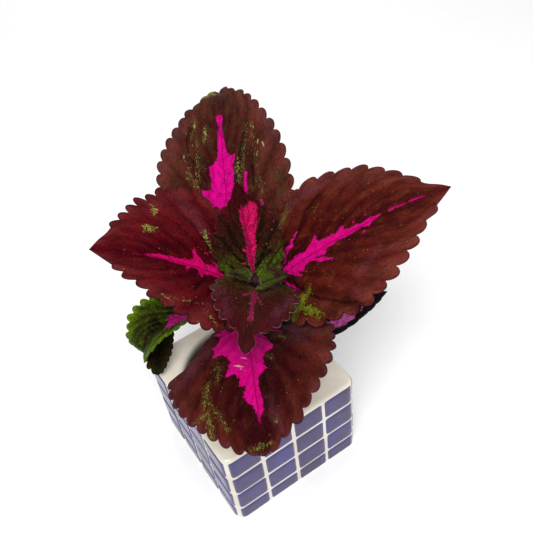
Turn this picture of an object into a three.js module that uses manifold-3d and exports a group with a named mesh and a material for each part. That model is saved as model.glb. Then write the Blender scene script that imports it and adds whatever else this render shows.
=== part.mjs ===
// Coleus in a square tiled ceramic pot.
// Millimetres, +Z up, origin at the centre of the pot's base.
// The pot is one glazed piece with raised tiles; the plant is a stem with opposite pairs of leaves,
// each pair turned a quarter turn from the one below it.

import * as THREE from 'three';
import { mergeVertices } from 'three/addons/utils/BufferGeometryUtils.js';
import Module from 'manifold-3d';

const wasm = await Module();
wasm.setup();

// ---------- driving dimensions ----------

// pot
const potWidth = 100;
const potDepth = 102;
const potHeight = 78;
const cornerRadius = 4.5;
const edgeSoftening = 1.6;
const tileRelief = 0.5;
const tileColumns = 4;
const tileRowTops = [76.4, 56.0, 35.6, 15.2];
const tileRowFoot = 2.2;
const groutWidth = 1.6;
const mouthRadius = 45;
const wellRadius = 43.5;
const wellFloor = 9;

// soil and stem
const soilTop = 68;
const soilGap = 0.5;
const stemFoot = new THREE.Vector3(7, 2, 46);
const stemTip = new THREE.Vector3(15, -1.5, 155);
const stemFootRadius = 3.2;
const stemTipRadius = 1.5;
const seatGap = 0.35;

// leaves
const bladeThickness = 0.75;
const veinSweep = 0.9;
const smoothBaseShare = 0.16;
const columnShares = [0.3, 0.6, 0.84];
const toothPhases = [0.25, 0.55, 0.82];
const toothRise = [0.72, 1.0, 0.8];

// Each leaf: where its blade starts, how its midrib runs, and how wide and folded the blade is.
// Angles are in degrees: heading is counter-clockwise from +X, rise is above the horizontal,
// droop, bend and twist are the changes from base to tip, roll lifts the left side.
// fold is the rise of each side from the midrib, curl is how much it lies down again at the margin,
// lobe is how far the shoulders of the blade reach back beside the stalk, as a share of its length.
const leafPlans = [
  {
    name: 'leaf_right', node: 130, base: [33, -4, 151], heading: -29, rise: 39, droop: -19, droopPower: 1,
    bend: -3, roll: 9, twist: 2, length: 110, half: 51, fold: 10, curl: 21, basePower: 0.5, tipPower: 1.09,
    lobe: 0.18, teeth: 13, toothDepth: 3.0, quilt: 1.1, petiole: 1.5, colour: '#6b2320',
  },
  {
    name: 'leaf_left', node: 130, base: [5, 15, 150], heading: 161, rise: 48, droop: -21, droopPower: 1,
    bend: 6, roll: -10, twist: -2, length: 88, half: 51, fold: 18, curl: 13, basePower: 0.49, tipPower: 1.08,
    lobe: 0.16, teeth: 13, toothDepth: 2.8, quilt: 1.0, petiole: 1.5, colour: '#6b1c26',
  },
  {
    name: 'leaf_back', node: 108, base: [29, 53, 143], heading: 56, rise: 49, droop: -83, droopPower: 2.5,
    bend: 5, roll: -9, twist: -3, length: 114, half: 46, fold: 15, curl: 16, basePower: 0.47, tipPower: 1.04,
    lobe: 0.1, teeth: 14, toothDepth: 3.0, quilt: 1.1, petiole: 1.6, colour: '#63231f',
  },
  {
    name: 'leaf_front', node: 108, base: [2, -8, 127], heading: -117, rise: 23, droop: -27, droopPower: 1.5,
    bend: 1, roll: 7, twist: 11, length: 101, half: 48.5, fold: 13, curl: 19, basePower: 0.5, tipPower: 0.8,
    lobe: 0.12, teeth: 13, toothDepth: 3.0, quilt: 1.1, petiole: 1.6, colour: '#6b2624',
  },
  {
    name: 'leaf_young_back', node: 147, base: [17, 3, 155], heading: 64, rise: 45, droop: -19, droopPower: 1,
    bend: 3, roll: -5, twist: -4, length: 58, half: 21, fold: 12, curl: 20, basePower: 0.49, tipPower: 1.09,
    lobe: 0.16, teeth: 9, toothDepth: 1.8, quilt: 0.7, petiole: 1.0, colour: '#3d2b12',
  },
  {
    name: 'leaf_young_front', node: 147, base: [14.3, -6.4, 154.2], heading: -127, rise: 32, droop: -43,
    droopPower: 1, bend: -7, roll: -12, twist: 0, length: 55, half: 24, fold: 15, curl: 16, basePower: 0.48,
    tipPower: 1.1,
    lobe: 0.12, teeth: 9, toothDepth: 1.8, quilt: 0.7, petiole: 1.0, colour: '#4b2a1e',
  },
  {
    name: 'leaf_tip_right', node: 155, base: [18, -6.5, 157.6], heading: -28, rise: 26, droop: -30, droopPower: 1,
    bend: 0, roll: 0, twist: 0, length: 22, half: 6, fold: 34, curl: 10, basePower: 0.5, tipPower: 1.05,
    lobe: 0.05, teeth: 5, toothDepth: 0.6, quilt: 0.2, petiole: 0.7, colour: '#5c5a1c',
  },
  {
    name: 'leaf_tip_left', node: 155, base: [11.6, -1.6, 158.6], heading: 154, rise: 50, droop: -30, droopPower: 1,
    bend: 0, roll: 0, twist: 0, length: 20, half: 5, fold: 40, curl: 10, basePower: 0.5, tipPower: 1.05,
    lobe: 0.05, teeth: 5, toothDepth: 0.6, quilt: 0.2, petiole: 0.7, colour: '#5c6a1c',
  },
  {
    name: 'leaf_low_left', node: 94, base: [-14, 36, 112], heading: 167, rise: 9, droop: -105, droopPower: 1.6,
    bend: 9, roll: 4, twist: -5, length: 58, half: 21, fold: 38, curl: 23, basePower: 0.48, tipPower: 1.02,
    lobe: 0.08, teeth: 9, toothDepth: 2.0, quilt: 0.7, petiole: 1.3, colour: '#4c6b1c',
  },
  {
    name: 'leaf_low_right', node: 94, base: [37, -24, 112], heading: -22, rise: 28, droop: -22, droopPower: 1,
    bend: 12, roll: -13, twist: -6, length: 53, half: 19, fold: 17, curl: 15, basePower: 0.48, tipPower: 1.05,
    lobe: 0.08, teeth: 9, toothDepth: 1.8, quilt: 0.7, petiole: 1.3, colour: '#33140f',
  },
  {
    name: 'leaf_low_under', node: 84, base: [-28, 56, 96], heading: -133, rise: -1, droop: -42, droopPower: 1,
    bend: 11, roll: 4, twist: 2, length: 37, half: 10, fold: 15, curl: 17, basePower: 0.48, tipPower: 1.02,
    lobe: 0.06, teeth: 8, toothDepth: 1.6, quilt: 0.5, petiole: 1.1, colour: '#2e2410',
  },
];

// ---------- helpers ----------

const radians = THREE.MathUtils.degToRad;
const vec = (x, y, z) => new THREE.Vector3(x, y, z);

function solidFromArrays(points, triangles) {
  const vertProperties = new Float32Array(points.flatMap((p) => [p.x, p.y, p.z]));
  const triVerts = new Uint32Array(triangles.flat());
  return new wasm.Manifold(new wasm.Mesh({ numProp: 3, vertProperties, triVerts }));
}

function solidFromGeometry(geometry) {
  geometry.deleteAttribute('normal');
  geometry.deleteAttribute('uv');
  const merged = mergeVertices(geometry, 1e-4);
  return new wasm.Manifold(new wasm.Mesh({
    numProp: 3,
    vertProperties: new Float32Array(merged.attributes.position.array),
    triVerts: new Uint32Array(merged.index.array),
  }));
}

function meshFromSolid(name, solid, colour, roughness) {
  const { vertProperties, triVerts } = solid.getMesh();
  const geometry = new THREE.BufferGeometry();
  geometry.setAttribute('position', new THREE.BufferAttribute(new Float32Array(vertProperties), 3));
  geometry.setIndex(new THREE.BufferAttribute(new Uint32Array(triVerts), 1));
  geometry.computeVertexNormals();
  const material = new THREE.MeshStandardMaterial({ color: colour, roughness, metalness: 0 });
  const mesh = new THREE.Mesh(geometry, material);
  mesh.name = name;
  return mesh;
}

function roundedRectangle(width, depth, radius) {
  const x = width / 2 - radius;
  const y = depth / 2 - radius;
  const shape = new THREE.Shape();
  shape.absarc(x, y, radius, 0, Math.PI / 2, false);
  shape.absarc(-x, y, radius, Math.PI / 2, Math.PI, false);
  shape.absarc(-x, -y, radius, Math.PI, Math.PI * 1.5, false);
  shape.absarc(x, -y, radius, Math.PI * 1.5, Math.PI * 2, false);
  return shape;
}

function boxSolid(size, centre, turn = 0) {
  const geometry = new THREE.BoxGeometry(...size);
  geometry.rotateZ(turn);
  geometry.translate(...centre);
  return solidFromGeometry(geometry);
}

// A closed tube of changing radius along a list of points; squareness 0 is round, 1 is square.
function taperedTube(path, radii, sides, reference, squareness = 0) {
  const points = [];
  const triangles = [];
  path.forEach((centre, i) => {
    const ahead = path[Math.min(i + 1, path.length - 1)];
    const behind = path[Math.max(i - 1, 0)];
    const along = ahead.clone().sub(behind).normalize();
    const across = reference.clone().cross(along).normalize();
    const over = along.clone().cross(across);
    for (let j = 0; j < sides; j += 1) {
      const angle = (j / sides) * Math.PI * 2;
      const c = Math.cos(angle);
      const s = Math.sin(angle);
      const square = 1 / (c ** 4 + s ** 4) ** 0.25;
      const reach = radii[i] * (1 + (square - 1) * squareness);
      points.push(centre.clone().addScaledVector(across, c * reach).addScaledVector(over, s * reach));
    }
  });
  const last = path.length - 1;
  for (let i = 0; i < last; i += 1) {
    for (let j = 0; j < sides; j += 1) {
      const k = (j + 1) % sides;
      const [a, b] = [i * sides + j, i * sides + k];
      const [c, d] = [(i + 1) * sides + k, (i + 1) * sides + j];
      triangles.push([a, b, c], [a, c, d]);
    }
  }
  const foot = points.push(path[0].clone()) - 1;
  const tip = points.push(path[last].clone()) - 1;
  for (let j = 0; j < sides; j += 1) {
    const k = (j + 1) % sides;
    triangles.push([foot, k, j], [tip, last * sides + j, last * sides + k]);
  }
  return solidFromArrays(points, triangles);
}

// ---------- pot ----------

// The well the soil fills, opening out into a softly rounded mouth.
function wellSolid() {
  const profile = [
    [0, wellFloor],
    [wellRadius - 5, wellFloor],
    [wellRadius - 1.4, wellFloor + 1.6],
    [wellRadius, wellFloor + 5],
    [wellRadius, potHeight - 5],
    [wellRadius + 0.4, potHeight - 2.8],
    [mouthRadius, potHeight - 0.9],
    [mouthRadius + 1.4, potHeight],
    [mouthRadius + 1.4, potHeight + 3],
    [0, potHeight + 3],
  ].map(([r, z]) => new THREE.Vector2(r, z));
  const geometry = new THREE.LatheGeometry(profile, 40);
  geometry.rotateX(Math.PI / 2);
  return solidFromGeometry(geometry);
}

// One belt of tiles runs round the pot; upright grout joints divide it, one at each corner.
function tileBelts() {
  const shape = roundedRectangle(potWidth, potDepth, cornerRadius);
  let belts = null;
  tileRowTops.forEach((top, row) => {
    const foot = row + 1 < tileRowTops.length ? tileRowTops[row + 1] + groutWidth : tileRowFoot;
    const geometry = new THREE.ExtrudeGeometry(shape, {
      depth: top - foot, bevelEnabled: false, curveSegments: 3,
    });
    geometry.translate(0, 0, foot);
    const belt = solidFromGeometry(geometry);
    belts = belts ? belts.add(belt) : belt;
  });
  const jointDepth = 2 * tileRelief + 1;
  const pitchX = potWidth / tileColumns;
  const pitchY = potDepth / tileColumns;
  for (let i = 1; i < tileColumns; i += 1) {
    const x = i * pitchX - potWidth / 2;
    const y = i * pitchY - potDepth / 2;
    const slab = boxSolid([groutWidth, potDepth + 4, potHeight], [x, 0, potHeight / 2]);
    const core = boxSolid([groutWidth + 1, potDepth - jointDepth, potHeight + 2], [x, 0, potHeight / 2]);
    const sideSlab = boxSolid([potWidth + 4, groutWidth, potHeight], [0, y, potHeight / 2]);
    const sideCore = boxSolid([potWidth - jointDepth, groutWidth + 1, potHeight + 2], [0, y, potHeight / 2]);
    belts = belts.subtract(slab.subtract(core)).subtract(sideSlab.subtract(sideCore));
  }
  const cornerReach = cornerRadius * Math.SQRT1_2;
  [[1, 1], [-1, 1], [-1, -1], [1, -1]].forEach(([sx, sy]) => {
    const x = sx * (potWidth / 2 - cornerRadius + cornerReach);
    const y = sy * (potDepth / 2 - cornerRadius + cornerReach);
    const joint = boxSolid([jointDepth, groutWidth, potHeight], [x, y, potHeight / 2], Math.atan2(sy, sx));
    belts = belts.subtract(joint);
  });
  return belts;
}

function potSolid() {
  const inset = 2 * tileRelief;
  const shape = roundedRectangle(potWidth - inset, potDepth - inset, cornerRadius - tileRelief);
  const geometry = new THREE.ExtrudeGeometry(shape, {
    depth: potHeight - 2 * edgeSoftening,
    bevelEnabled: true,
    bevelThickness: edgeSoftening,
    bevelSize: edgeSoftening,
    bevelOffset: -edgeSoftening,
    bevelSegments: 3,
    curveSegments: 3,
  });
  geometry.translate(0, 0, edgeSoftening);
  return solidFromGeometry(geometry).add(tileBelts()).subtract(wellSolid());
}

// ---------- stem and soil ----------

function stemPoint(height) {
  const share = (height - stemFoot.z) / (stemTip.z - stemFoot.z);
  const point = stemFoot.clone().lerp(stemTip, share);
  point.x += 1.2 * Math.sin(share * Math.PI * 2);
  return point;
}

function stemRadius(height) {
  const share = (height - stemFoot.z) / (stemTip.z - stemFoot.z);
  return THREE.MathUtils.lerp(stemFootRadius, stemTipRadius, share);
}

// The square stem swells where each pair of leaves leaves it and ends in a small bud.
function stemSolid(extra = 0) {
  const nodes = [94, 108, 130, 147];
  const heights = [stemFoot.z, 60, 72, 84];
  nodes.forEach((height) => heights.push(height - 3, height, height + 3));
  heights.push(stemTip.z - 2, stemTip.z);
  const path = heights.map(stemPoint);
  const radii = heights.map((height) => stemRadius(height) + (nodes.includes(height) ? 0.7 : 0) + extra);
  path.push(stemPoint(stemTip.z + 1.6), stemPoint(stemTip.z + 3));
  radii.push(stemTipRadius + 0.3 + extra, 0.6 + extra);
  if (extra > 0) path[path.length - 1].z += extra;
  return taperedTube(path, radii, 8, vec(0, 1, 0), 0.8);
}

function soilSolid() {
  const outer = wellRadius - soilGap;
  const profile = [
    [0, wellFloor + soilGap],
    [wellRadius - 6, wellFloor + soilGap],
    [outer - 2, wellFloor + 3],
    [outer, wellFloor + 7],
    [outer, soilTop - 2],
    [outer - 1.5, soilTop - 0.6],
    [34, soilTop],
    [22, soilTop + 0.6],
    [11, soilTop + 1.2],
    [0, soilTop + 1.4],
  ].map(([r, z]) => new THREE.Vector2(r, z));
  const geometry = new THREE.LatheGeometry(profile, 24);
  geometry.rotateX(Math.PI / 2);
  const position = geometry.attributes.position;
  for (let i = 0; i < position.count; i += 1) {
    const [x, y, z] = [position.getX(i), position.getY(i), position.getZ(i)];
    if (z > soilTop - 1 && Math.hypot(x, y) > 1) {
      const mound = 0.7 * Math.sin(x * 0.35 + 1) * Math.cos(y * 0.41);
      position.setZ(i, z + mound + 0.4 * Math.sin(x * 0.9 + y * 0.7));
    }
  }
  return solidFromGeometry(geometry).subtract(stemSolid(seatGap));
}

// ---------- leaves ----------

// Midrib position and local frame at share s of the blade's length.
function makeMidrib(plan) {
  const steps = 80;
  const angles = (s) => ({
    heading: radians(plan.heading + plan.bend * s),
    rise: radians(plan.rise + plan.droop * s ** plan.droopPower),
    roll: radians(plan.roll + plan.twist * s),
  });
  const direction = (s) => {
    const a = angles(s);
    const level = Math.cos(a.rise);
    return vec(level * Math.cos(a.heading), level * Math.sin(a.heading), Math.sin(a.rise));
  };
  const stations = [vec(...plan.base)];
  for (let i = 1; i <= steps; i += 1) {
    const mean = direction((i - 1) / steps).add(direction(i / steps)).multiplyScalar(0.5 * plan.length / steps);
    stations.push(stations[i - 1].clone().add(mean));
  }
  return (s) => {
    const at = s * steps;
    const i = THREE.MathUtils.clamp(Math.floor(at), 0, steps - 1);
    const a = angles(Math.max(s, 0));
    const along = direction(Math.max(s, 0));
    const level = vec(-Math.sin(a.heading), Math.cos(a.heading), 0);
    const above = along.clone().cross(level);
    const side = level.clone().multiplyScalar(Math.cos(a.roll)).addScaledVector(above, Math.sin(a.roll));
    const up = above.clone().multiplyScalar(Math.cos(a.roll)).addScaledVector(level, -Math.sin(a.roll));
    return { point: stations[i].clone().lerp(stations[i + 1], at - i), along, side, up };
  };
}

// Half width of the blade at share s, as a share of its widest.
function outlineShare(plan, s) {
  const widest = plan.basePower / (plan.basePower + plan.tipPower);
  return (s / widest) ** plan.basePower * ((1 - s) / (1 - widest)) ** plan.tipPower;
}

// Point of the blade's middle surface and its normal; t runs from -1, right margin, to +1, left margin.
function bladePoint(plan, midrib, s, t, ripple) {
  const reach = plan.half * outlineShare(plan, s);
  const share = Math.abs(t);
  const shoulder = THREE.MathUtils.smoothstep(share * reach / plan.half, 0, 0.45);
  const frame = midrib(s - plan.lobe * shoulder * (1 - s) ** 8);
  const fold = radians(plan.fold);
  const curl = radians(plan.curl);
  const steps = 8;
  let lateral = 0;
  let lift = 0;
  for (let i = 0; i < steps; i += 1) {
    const angle = fold - curl * share * (i + 0.5) / steps;
    lateral += Math.cos(angle) * share / steps;
    lift += Math.sin(angle) * share / steps;
  }
  const margin = fold - curl * share;
  const outward = frame.side.clone().multiplyScalar(Math.sign(t));
  const normal = frame.up.clone().multiplyScalar(Math.cos(margin)).addScaledVector(outward, -Math.sin(margin));
  const point = frame.point.clone()
    .addScaledVector(outward, reach * lateral)
    .addScaledVector(frame.up, reach * lift)
    .addScaledVector(normal, ripple);
  return { point, normal: t === 0 ? frame.up : normal };
}

// Shares of the length where margin points stand, evenly spaced along the margin itself.
function marginShares(plan) {
  const samples = 600;
  const table = [[0, 0]];
  let run = 0;
  let last = [0, 0];
  for (let i = 1; i <= samples; i += 1) {
    const s = (i / samples) ** 2;
    const spot = [s * plan.length, i === samples ? 0 : plan.half * outlineShare(plan, s)];
    run += Math.hypot(spot[0] - last[0], spot[1] - last[1]);
    table.push([run, s]);
    last = spot;
  }
  return (share) => {
    const target = share * run;
    const i = Math.max(1, table.findIndex(([length]) => length >= target));
    const [[a, sa], [b, sb]] = [table[i - 1], table[i]];
    return sa + (sb - sa) * (target - a) / (b - a);
  };
}

// Where the vein line that meets the margin at share s crosses column t.
function shareOnVein(s, t) {
  const k = veinSweep;
  const u = ((1 + k) - Math.sqrt((1 + k) ** 2 - 4 * k * s)) / (2 * k);
  return u + k * u * (1 - u) * Math.abs(t);
}

function bladeSolid(plan, midrib) {
  const shareAt = marginShares(plan);
  const toothStart = smoothBaseShare;
  const toothEnd = 1 - 0.09;
  const rows = [{ share: toothStart * 0.5, tooth: -1 }];
  for (let j = 0; j <= plan.teeth; j += 1) {
    rows.push({ share: toothStart + (toothEnd - toothStart) * j / plan.teeth, tooth: j });
  }
  rows.push({ share: (toothEnd + 1) / 2, tooth: -1 });

  const top = [];
  const normals = [];
  const add = ({ point, normal }) => {
    normals.push(normal);
    return top.push(point) - 1;
  };
  const marginPoint = (share, side, rise) => {
    const s = shareAt(share);
    const here = bladePoint(plan, midrib, s, side, 0);
    const next = bladePoint(plan, midrib, Math.min(s + 0.004, 0.9999), side, 0);
    const along = next.point.clone().sub(here.point).normalize();
    const outward = side > 0 ? here.normal.clone().cross(along) : along.clone().cross(here.normal);
    here.point.addScaledVector(outward.normalize(), plan.toothDepth * (rise - 0.5));
    return add(here);
  };

  const base = add(bladePoint(plan, midrib, 0, 0, 0));
  const tip = add(bladePoint(plan, midrib, 1, 0, 0));
  const grid = rows.map(({ share, tooth }) => {
    const s = shareAt(share);
    const ripple = tooth < 0 ? 0 : plan.quilt * (tooth % 2 === 0 ? -1 : 1);
    const centre = add(bladePoint(plan, midrib, shareOnVein(s, 0), 0, 0));
    const sides = [-1, 1].map((side) => {
      const inner = columnShares.map((t) => {
        const sway = ripple * Math.sin(Math.PI * t);
        return add(bladePoint(plan, midrib, shareOnVein(s, t), side * t, sway));
      });
      return { inner: [centre, ...inner], margin: marginPoint(share, side, tooth < 0 ? 0.5 : 0) };
    });
    return sides;
  });

  const faces = [];
  const rims = [[], []];
  [0, 1].forEach((which) => {
    const side = which === 0 ? -1 : 1;
    const push = (a, b, c) => faces.push(side > 0 ? [a, b, c] : [a, c, b]);
    const first = grid[0][which];
    const firstRow = [...first.inner, first.margin];
    for (let k = 0; k + 1 < firstRow.length; k += 1) push(base, firstRow[k], firstRow[k + 1]);
    rims[which].push(base, first.margin);
    for (let i = 0; i + 1 < grid.length; i += 1) {
      const [here, next] = [grid[i][which], grid[i + 1][which]];
      for (let k = 0; k + 1 < here.inner.length; k += 1) {
        push(here.inner[k], next.inner[k], next.inner[k + 1]);
        push(here.inner[k], next.inner[k + 1], here.inner[k + 1]);
      }
      const a = here.inner[here.inner.length - 1];
      const b = next.inner[next.inner.length - 1];
      const toothed = rows[i].tooth >= 0 && rows[i + 1].tooth >= 0;
      const between = !toothed ? [] : toothPhases.map((phase, n) => (
        marginPoint(THREE.MathUtils.lerp(rows[i].share, rows[i + 1].share, phase), side, toothRise[n])
      ));
      const edge = [here.margin, ...between, next.margin];
      const split = Math.floor(edge.length / 2);
      for (let k = 0; k < split; k += 1) push(a, edge[k + 1], edge[k]);
      push(a, b, edge[split]);
      for (let k = split; k + 1 < edge.length; k += 1) push(b, edge[k + 1], edge[k]);
      rims[which].push(...edge.slice(1));
    }
    const final = grid[grid.length - 1][which];
    const finalRow = [...final.inner, final.margin];
    for (let k = 0; k + 1 < finalRow.length; k += 1) push(finalRow[k], tip, finalRow[k + 1]);
    rims[which].push(tip);
  });

  const count = top.length;
  const points = top.map((p, i) => p.clone().addScaledVector(normals[i], bladeThickness / 2));
  top.forEach((p, i) => points.push(p.clone().addScaledVector(normals[i], -bladeThickness / 2)));
  const triangles = faces.map(([a, b, c]) => [a, b, c]);
  faces.forEach(([a, b, c]) => triangles.push([a + count, c + count, b + count]));
  const loop = [...rims[0], ...rims[1].slice(1, -1).reverse()];
  loop.forEach((a, i) => {
    const b = loop[(i + 1) % loop.length];
    triangles.push([b, a, a + count], [b, a + count, b + count]);
  });
  return solidFromArrays(points, triangles);
}

// The stalk leaves the stem, arches up to the blade and goes on below it as the raised midrib.
function stalkSolid(plan, midrib) {
  const start = stemPoint(plan.node);
  const frame = midrib(0);
  const gap = frame.point.clone().sub(start);
  const heading = vec(gap.x, gap.y, 0).normalize();
  const leave = heading.clone().multiplyScalar(0.8).add(vec(0, 0, 0.6)).multiplyScalar(gap.length() * 0.4);
  const arrive = frame.along.clone().multiplyScalar(-gap.length() * 0.3);
  const below = (s, radius) => {
    const { point, up } = midrib(s);
    return point.addScaledVector(up, -bladeThickness / 2 - radius * 0.35);
  };
  const end = below(0, plan.petiole * 0.8);
  const curve = new THREE.CubicBezierCurve3(start, start.clone().add(leave), end.clone().add(arrive), end);
  const path = curve.getPoints(6);
  const radii = path.map((_, i) => plan.petiole * (1 - 0.2 * i / 6));
  [0.15, 0.3, 0.45, 0.6, 0.75].forEach((s) => {
    const radius = plan.petiole * 0.8 * (1 - s);
    path.push(below(s, radius));
    radii.push(radius);
  });
  return taperedTube(path, radii, 6, vec(0, 0, 1));
}

function leafSolid(plan, stemClearance) {
  const midrib = makeMidrib(plan);
  return bladeSolid(plan, midrib).add(stalkSolid(plan, midrib)).subtract(stemClearance);
}

// ---------- assembly ----------

const group = new THREE.Group();
group.add(meshFromSolid('pot', potSolid(), '#8f87ae', 0.25));
group.add(meshFromSolid('soil', soilSolid(), '#2b1d14', 0.95));
group.add(meshFromSolid('stem', stemSolid(), '#6f4a4a', 0.6));
const clearance = stemSolid(seatGap);
leafPlans.forEach((plan) => {
  group.add(meshFromSolid(plan.name, leafSolid(plan, clearance), plan.colour, 0.55));
});

export default group;
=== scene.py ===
import math

import bpy
import numpy as np
from mathutils import Matrix, Vector


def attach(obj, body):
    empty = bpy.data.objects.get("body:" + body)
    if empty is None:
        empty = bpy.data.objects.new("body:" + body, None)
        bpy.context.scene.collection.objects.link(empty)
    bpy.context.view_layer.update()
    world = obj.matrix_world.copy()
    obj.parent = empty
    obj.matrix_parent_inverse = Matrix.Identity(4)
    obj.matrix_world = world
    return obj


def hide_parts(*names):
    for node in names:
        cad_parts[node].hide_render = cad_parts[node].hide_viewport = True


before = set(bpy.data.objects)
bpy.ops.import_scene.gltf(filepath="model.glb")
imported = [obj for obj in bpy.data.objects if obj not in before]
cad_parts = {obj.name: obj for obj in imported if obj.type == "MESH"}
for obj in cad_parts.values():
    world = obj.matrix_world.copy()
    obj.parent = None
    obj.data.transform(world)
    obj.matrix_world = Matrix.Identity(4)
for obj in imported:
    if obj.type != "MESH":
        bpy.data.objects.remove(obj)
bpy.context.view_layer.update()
mm = 0.001


# helpers

def tint(red, green, blue):  # display values from 0 to 255 as a linear colour
    shares = [value / 255 for value in (red, green, blue)]
    linear = [((share + 0.055) / 1.055) ** 2.4 if share > 0.04 else share / 12.92 for share in shares]
    return (*linear, 1.0)


def smoothStep(x, low, high):
    share = np.clip((x - low) / (high - low), 0, 1)
    return share * share * (3 - 2 * share)


def unit(vectors):
    return vectors / np.maximum(np.linalg.norm(vectors, axis=-1, keepdims=True), 1e-12)


def meshPiece(name, points, faces, materials, faceMaterials=None, flat=False):
    mesh = bpy.data.meshes.new(name)
    mesh.from_pydata([tuple(point) for point in points], [], [tuple(face) for face in faces])
    for material in materials:
        mesh.materials.append(material)
    if faceMaterials is not None:
        mesh.polygons.foreach_set("material_index", np.asarray(faceMaterials, dtype=np.int32))
    mesh.polygons.foreach_set("use_smooth", np.full(len(mesh.polygons), not flat))
    mesh.update()
    piece = bpy.data.objects.new(name, mesh)
    bpy.context.collection.objects.link(piece)
    return piece


def floatAttribute(piece, name, values):
    layer = piece.data.attributes.new(name, "FLOAT", "POINT")
    layer.data.foreach_set("value", np.asarray(values, dtype=np.float32))


def uvFromPoints(piece, coordinates):  # one pair for each mesh point
    layer = piece.data.uv_layers.new(name="surface")
    corners = np.empty(len(piece.data.loops), dtype=np.int32)
    piece.data.loops.foreach_get("vertex_index", corners)
    layer.data.foreach_set("uv", np.asarray(coordinates, dtype=np.float32)[corners].ravel())


def gridFaces(rows, columns, closed=False):
    faces = []
    for i in range(rows - 1):
        for j in range(columns if closed else columns - 1):
            k = (j + 1) % columns
            faces.append((i * columns + j, i * columns + k, (i + 1) * columns + k, (i + 1) * columns + j))
    return faces


def tubeFaces(rows, columns):  # the two points that close the ends come after the rings
    faces = gridFaces(rows, columns, closed=True)
    foot, tip, last = rows * columns, rows * columns + 1, (rows - 1) * columns
    for j in range(columns):
        k = (j + 1) % columns
        faces.append((foot, k, j))
        faces.append((tip, last + j, last + k))
    return faces


def bakeModifier(piece, name):  # the evaluated result as a plain mesh, with no modifier left
    graph = bpy.context.evaluated_depsgraph_get()
    made = bpy.data.meshes.new_from_object(piece.evaluated_get(graph), depsgraph=graph)
    made.name = name
    filled = [material for material in made.materials if material]
    if len(filled) < len(made.materials):  # the realized copies bring an empty slot, which no face uses
        number = np.empty(len(made.polygons), dtype=np.int32)
        made.polygons.foreach_get("material_index", number)
        moved = np.array([filled.index(material) if material else 0 for material in made.materials])
        made.materials.clear()
        for material in filled:
            made.materials.append(material)
        made.polygons.foreach_set("material_index", moved[number].astype(np.int32))
    baked = bpy.data.objects.new(name, made)
    bpy.context.collection.objects.link(baked)
    bpy.data.objects.remove(piece, do_unlink=True)
    return baked


def joinPieces(pieces, name):
    with bpy.context.temp_override(active_object=pieces[0], selected_editable_objects=pieces):
        bpy.ops.object.join()
    pieces[0].name = name
    pieces[0].data.name = name
    return pieces[0]


class Nodes:  # short way to write a node tree
    def __init__(self, tree):
        self.tree = tree

    def add(self, kind, inputs=None, **settings):
        node = self.tree.nodes.new(kind)
        for key, value in settings.items():
            setattr(node, key, value)
        for key, value in (inputs or {}).items():
            self.put(node.inputs[key], value)
        return node

    def shape(self, kind, inputs=None, **settings):  # a geometry node's first output
        return self.add(f"GeometryNode{kind}", inputs, **settings).outputs[0]

    def put(self, socket, value):
        if isinstance(value, bpy.types.NodeSocket):
            self.tree.links.new(value, socket)
        elif value is not None:
            socket.default_value = value

    def math(self, operation, *values):
        return self.add("ShaderNodeMath", dict(enumerate(values)), operation=operation).outputs[0]

    def plus(self, first, second):
        return self.math("ADD", first, second)

    def minus(self, first, second):
        return self.math("SUBTRACT", first, second)

    def times(self, first, second):
        return self.math("MULTIPLY", first, second)

    def nudge(self, base, wave, gain, middle=0.5):  # base moved by a wave's height over its middle
        return self.math("MULTIPLY_ADD", self.minus(wave, middle), gain, base)

    def vector(self, operation, first, second=None, scale=None):
        node = self.add("ShaderNodeVectorMath", {0: first, 1: second, 3: scale}, operation=operation)
        return node.outputs["Value" if operation in ("LENGTH", "DOT_PRODUCT") else "Vector"]

    def split(self, vector):
        return self.add("ShaderNodeSeparateXYZ", {"Vector": vector}).outputs

    def combine(self, x=0.0, y=0.0, z=0.0):
        return self.add("ShaderNodeCombineXYZ", {"X": x, "Y": y, "Z": z}).outputs[0]

    def ramp(self, value, low, high, start=0.0, end=1.0):  # smooth change between low and high
        return self.add("ShaderNodeMapRange", {
            "Value": value, "From Min": low, "From Max": high, "To Min": start, "To Max": end,
        }, interpolation_type="SMOOTHSTEP").outputs["Result"]

    def mix(self, share, first, second):
        return self.add("ShaderNodeMix", {"Factor": share, 6: first, 7: second}, data_type="RGBA").outputs[2]

    def cover(self, colour, tone, value, low, high, start=0.0, end=1.0):  # tone laid over colour
        return self.mix(self.ramp(value, low, high, start, end), colour, tone)

    def attribute(self, name):
        return self.add("ShaderNodeAttribute", attribute_name=name).outputs["Fac"]

    def coordinates(self, kind="Object"):
        return self.add("ShaderNodeTexCoord").outputs[kind]

    def noise(self, vector, scale, detail=2.0, roughness=0.5, distortion=0.0):
        return self.add("ShaderNodeTexNoise", {
            "Vector": vector, "Scale": scale, "Detail": detail, "Roughness": roughness,
            "Distortion": distortion,
        }).outputs["Fac"]

    def cells(self, vector, scale, feature="F1"):
        return self.add("ShaderNodeTexVoronoi", {"Vector": vector, "Scale": scale}, feature=feature).outputs

    def randomVector(self, seed, low, high):
        values = {"Min": low, "Max": high, "Seed": seed}
        return self.add("FunctionNodeRandomValue", values, data_type="FLOAT_VECTOR").outputs["Value"]

    def randomFloat(self, seed, low=0.0, high=1.0):
        values = {2: low, 3: high, "Seed": seed}
        return self.add("FunctionNodeRandomValue", values, data_type="FLOAT").outputs[1]

    def paint(self, colour, height=None, strength=0.0, distance=0.0):  # onto the material's own shader
        self.put(self.shader.inputs["Base Color"], colour)
        if height is not None:
            bump = self.add("ShaderNodeBump", {"Height": height, "Strength": strength, "Distance": distance})
            self.put(self.shader.inputs["Normal"], bump.outputs["Normal"])


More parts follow.
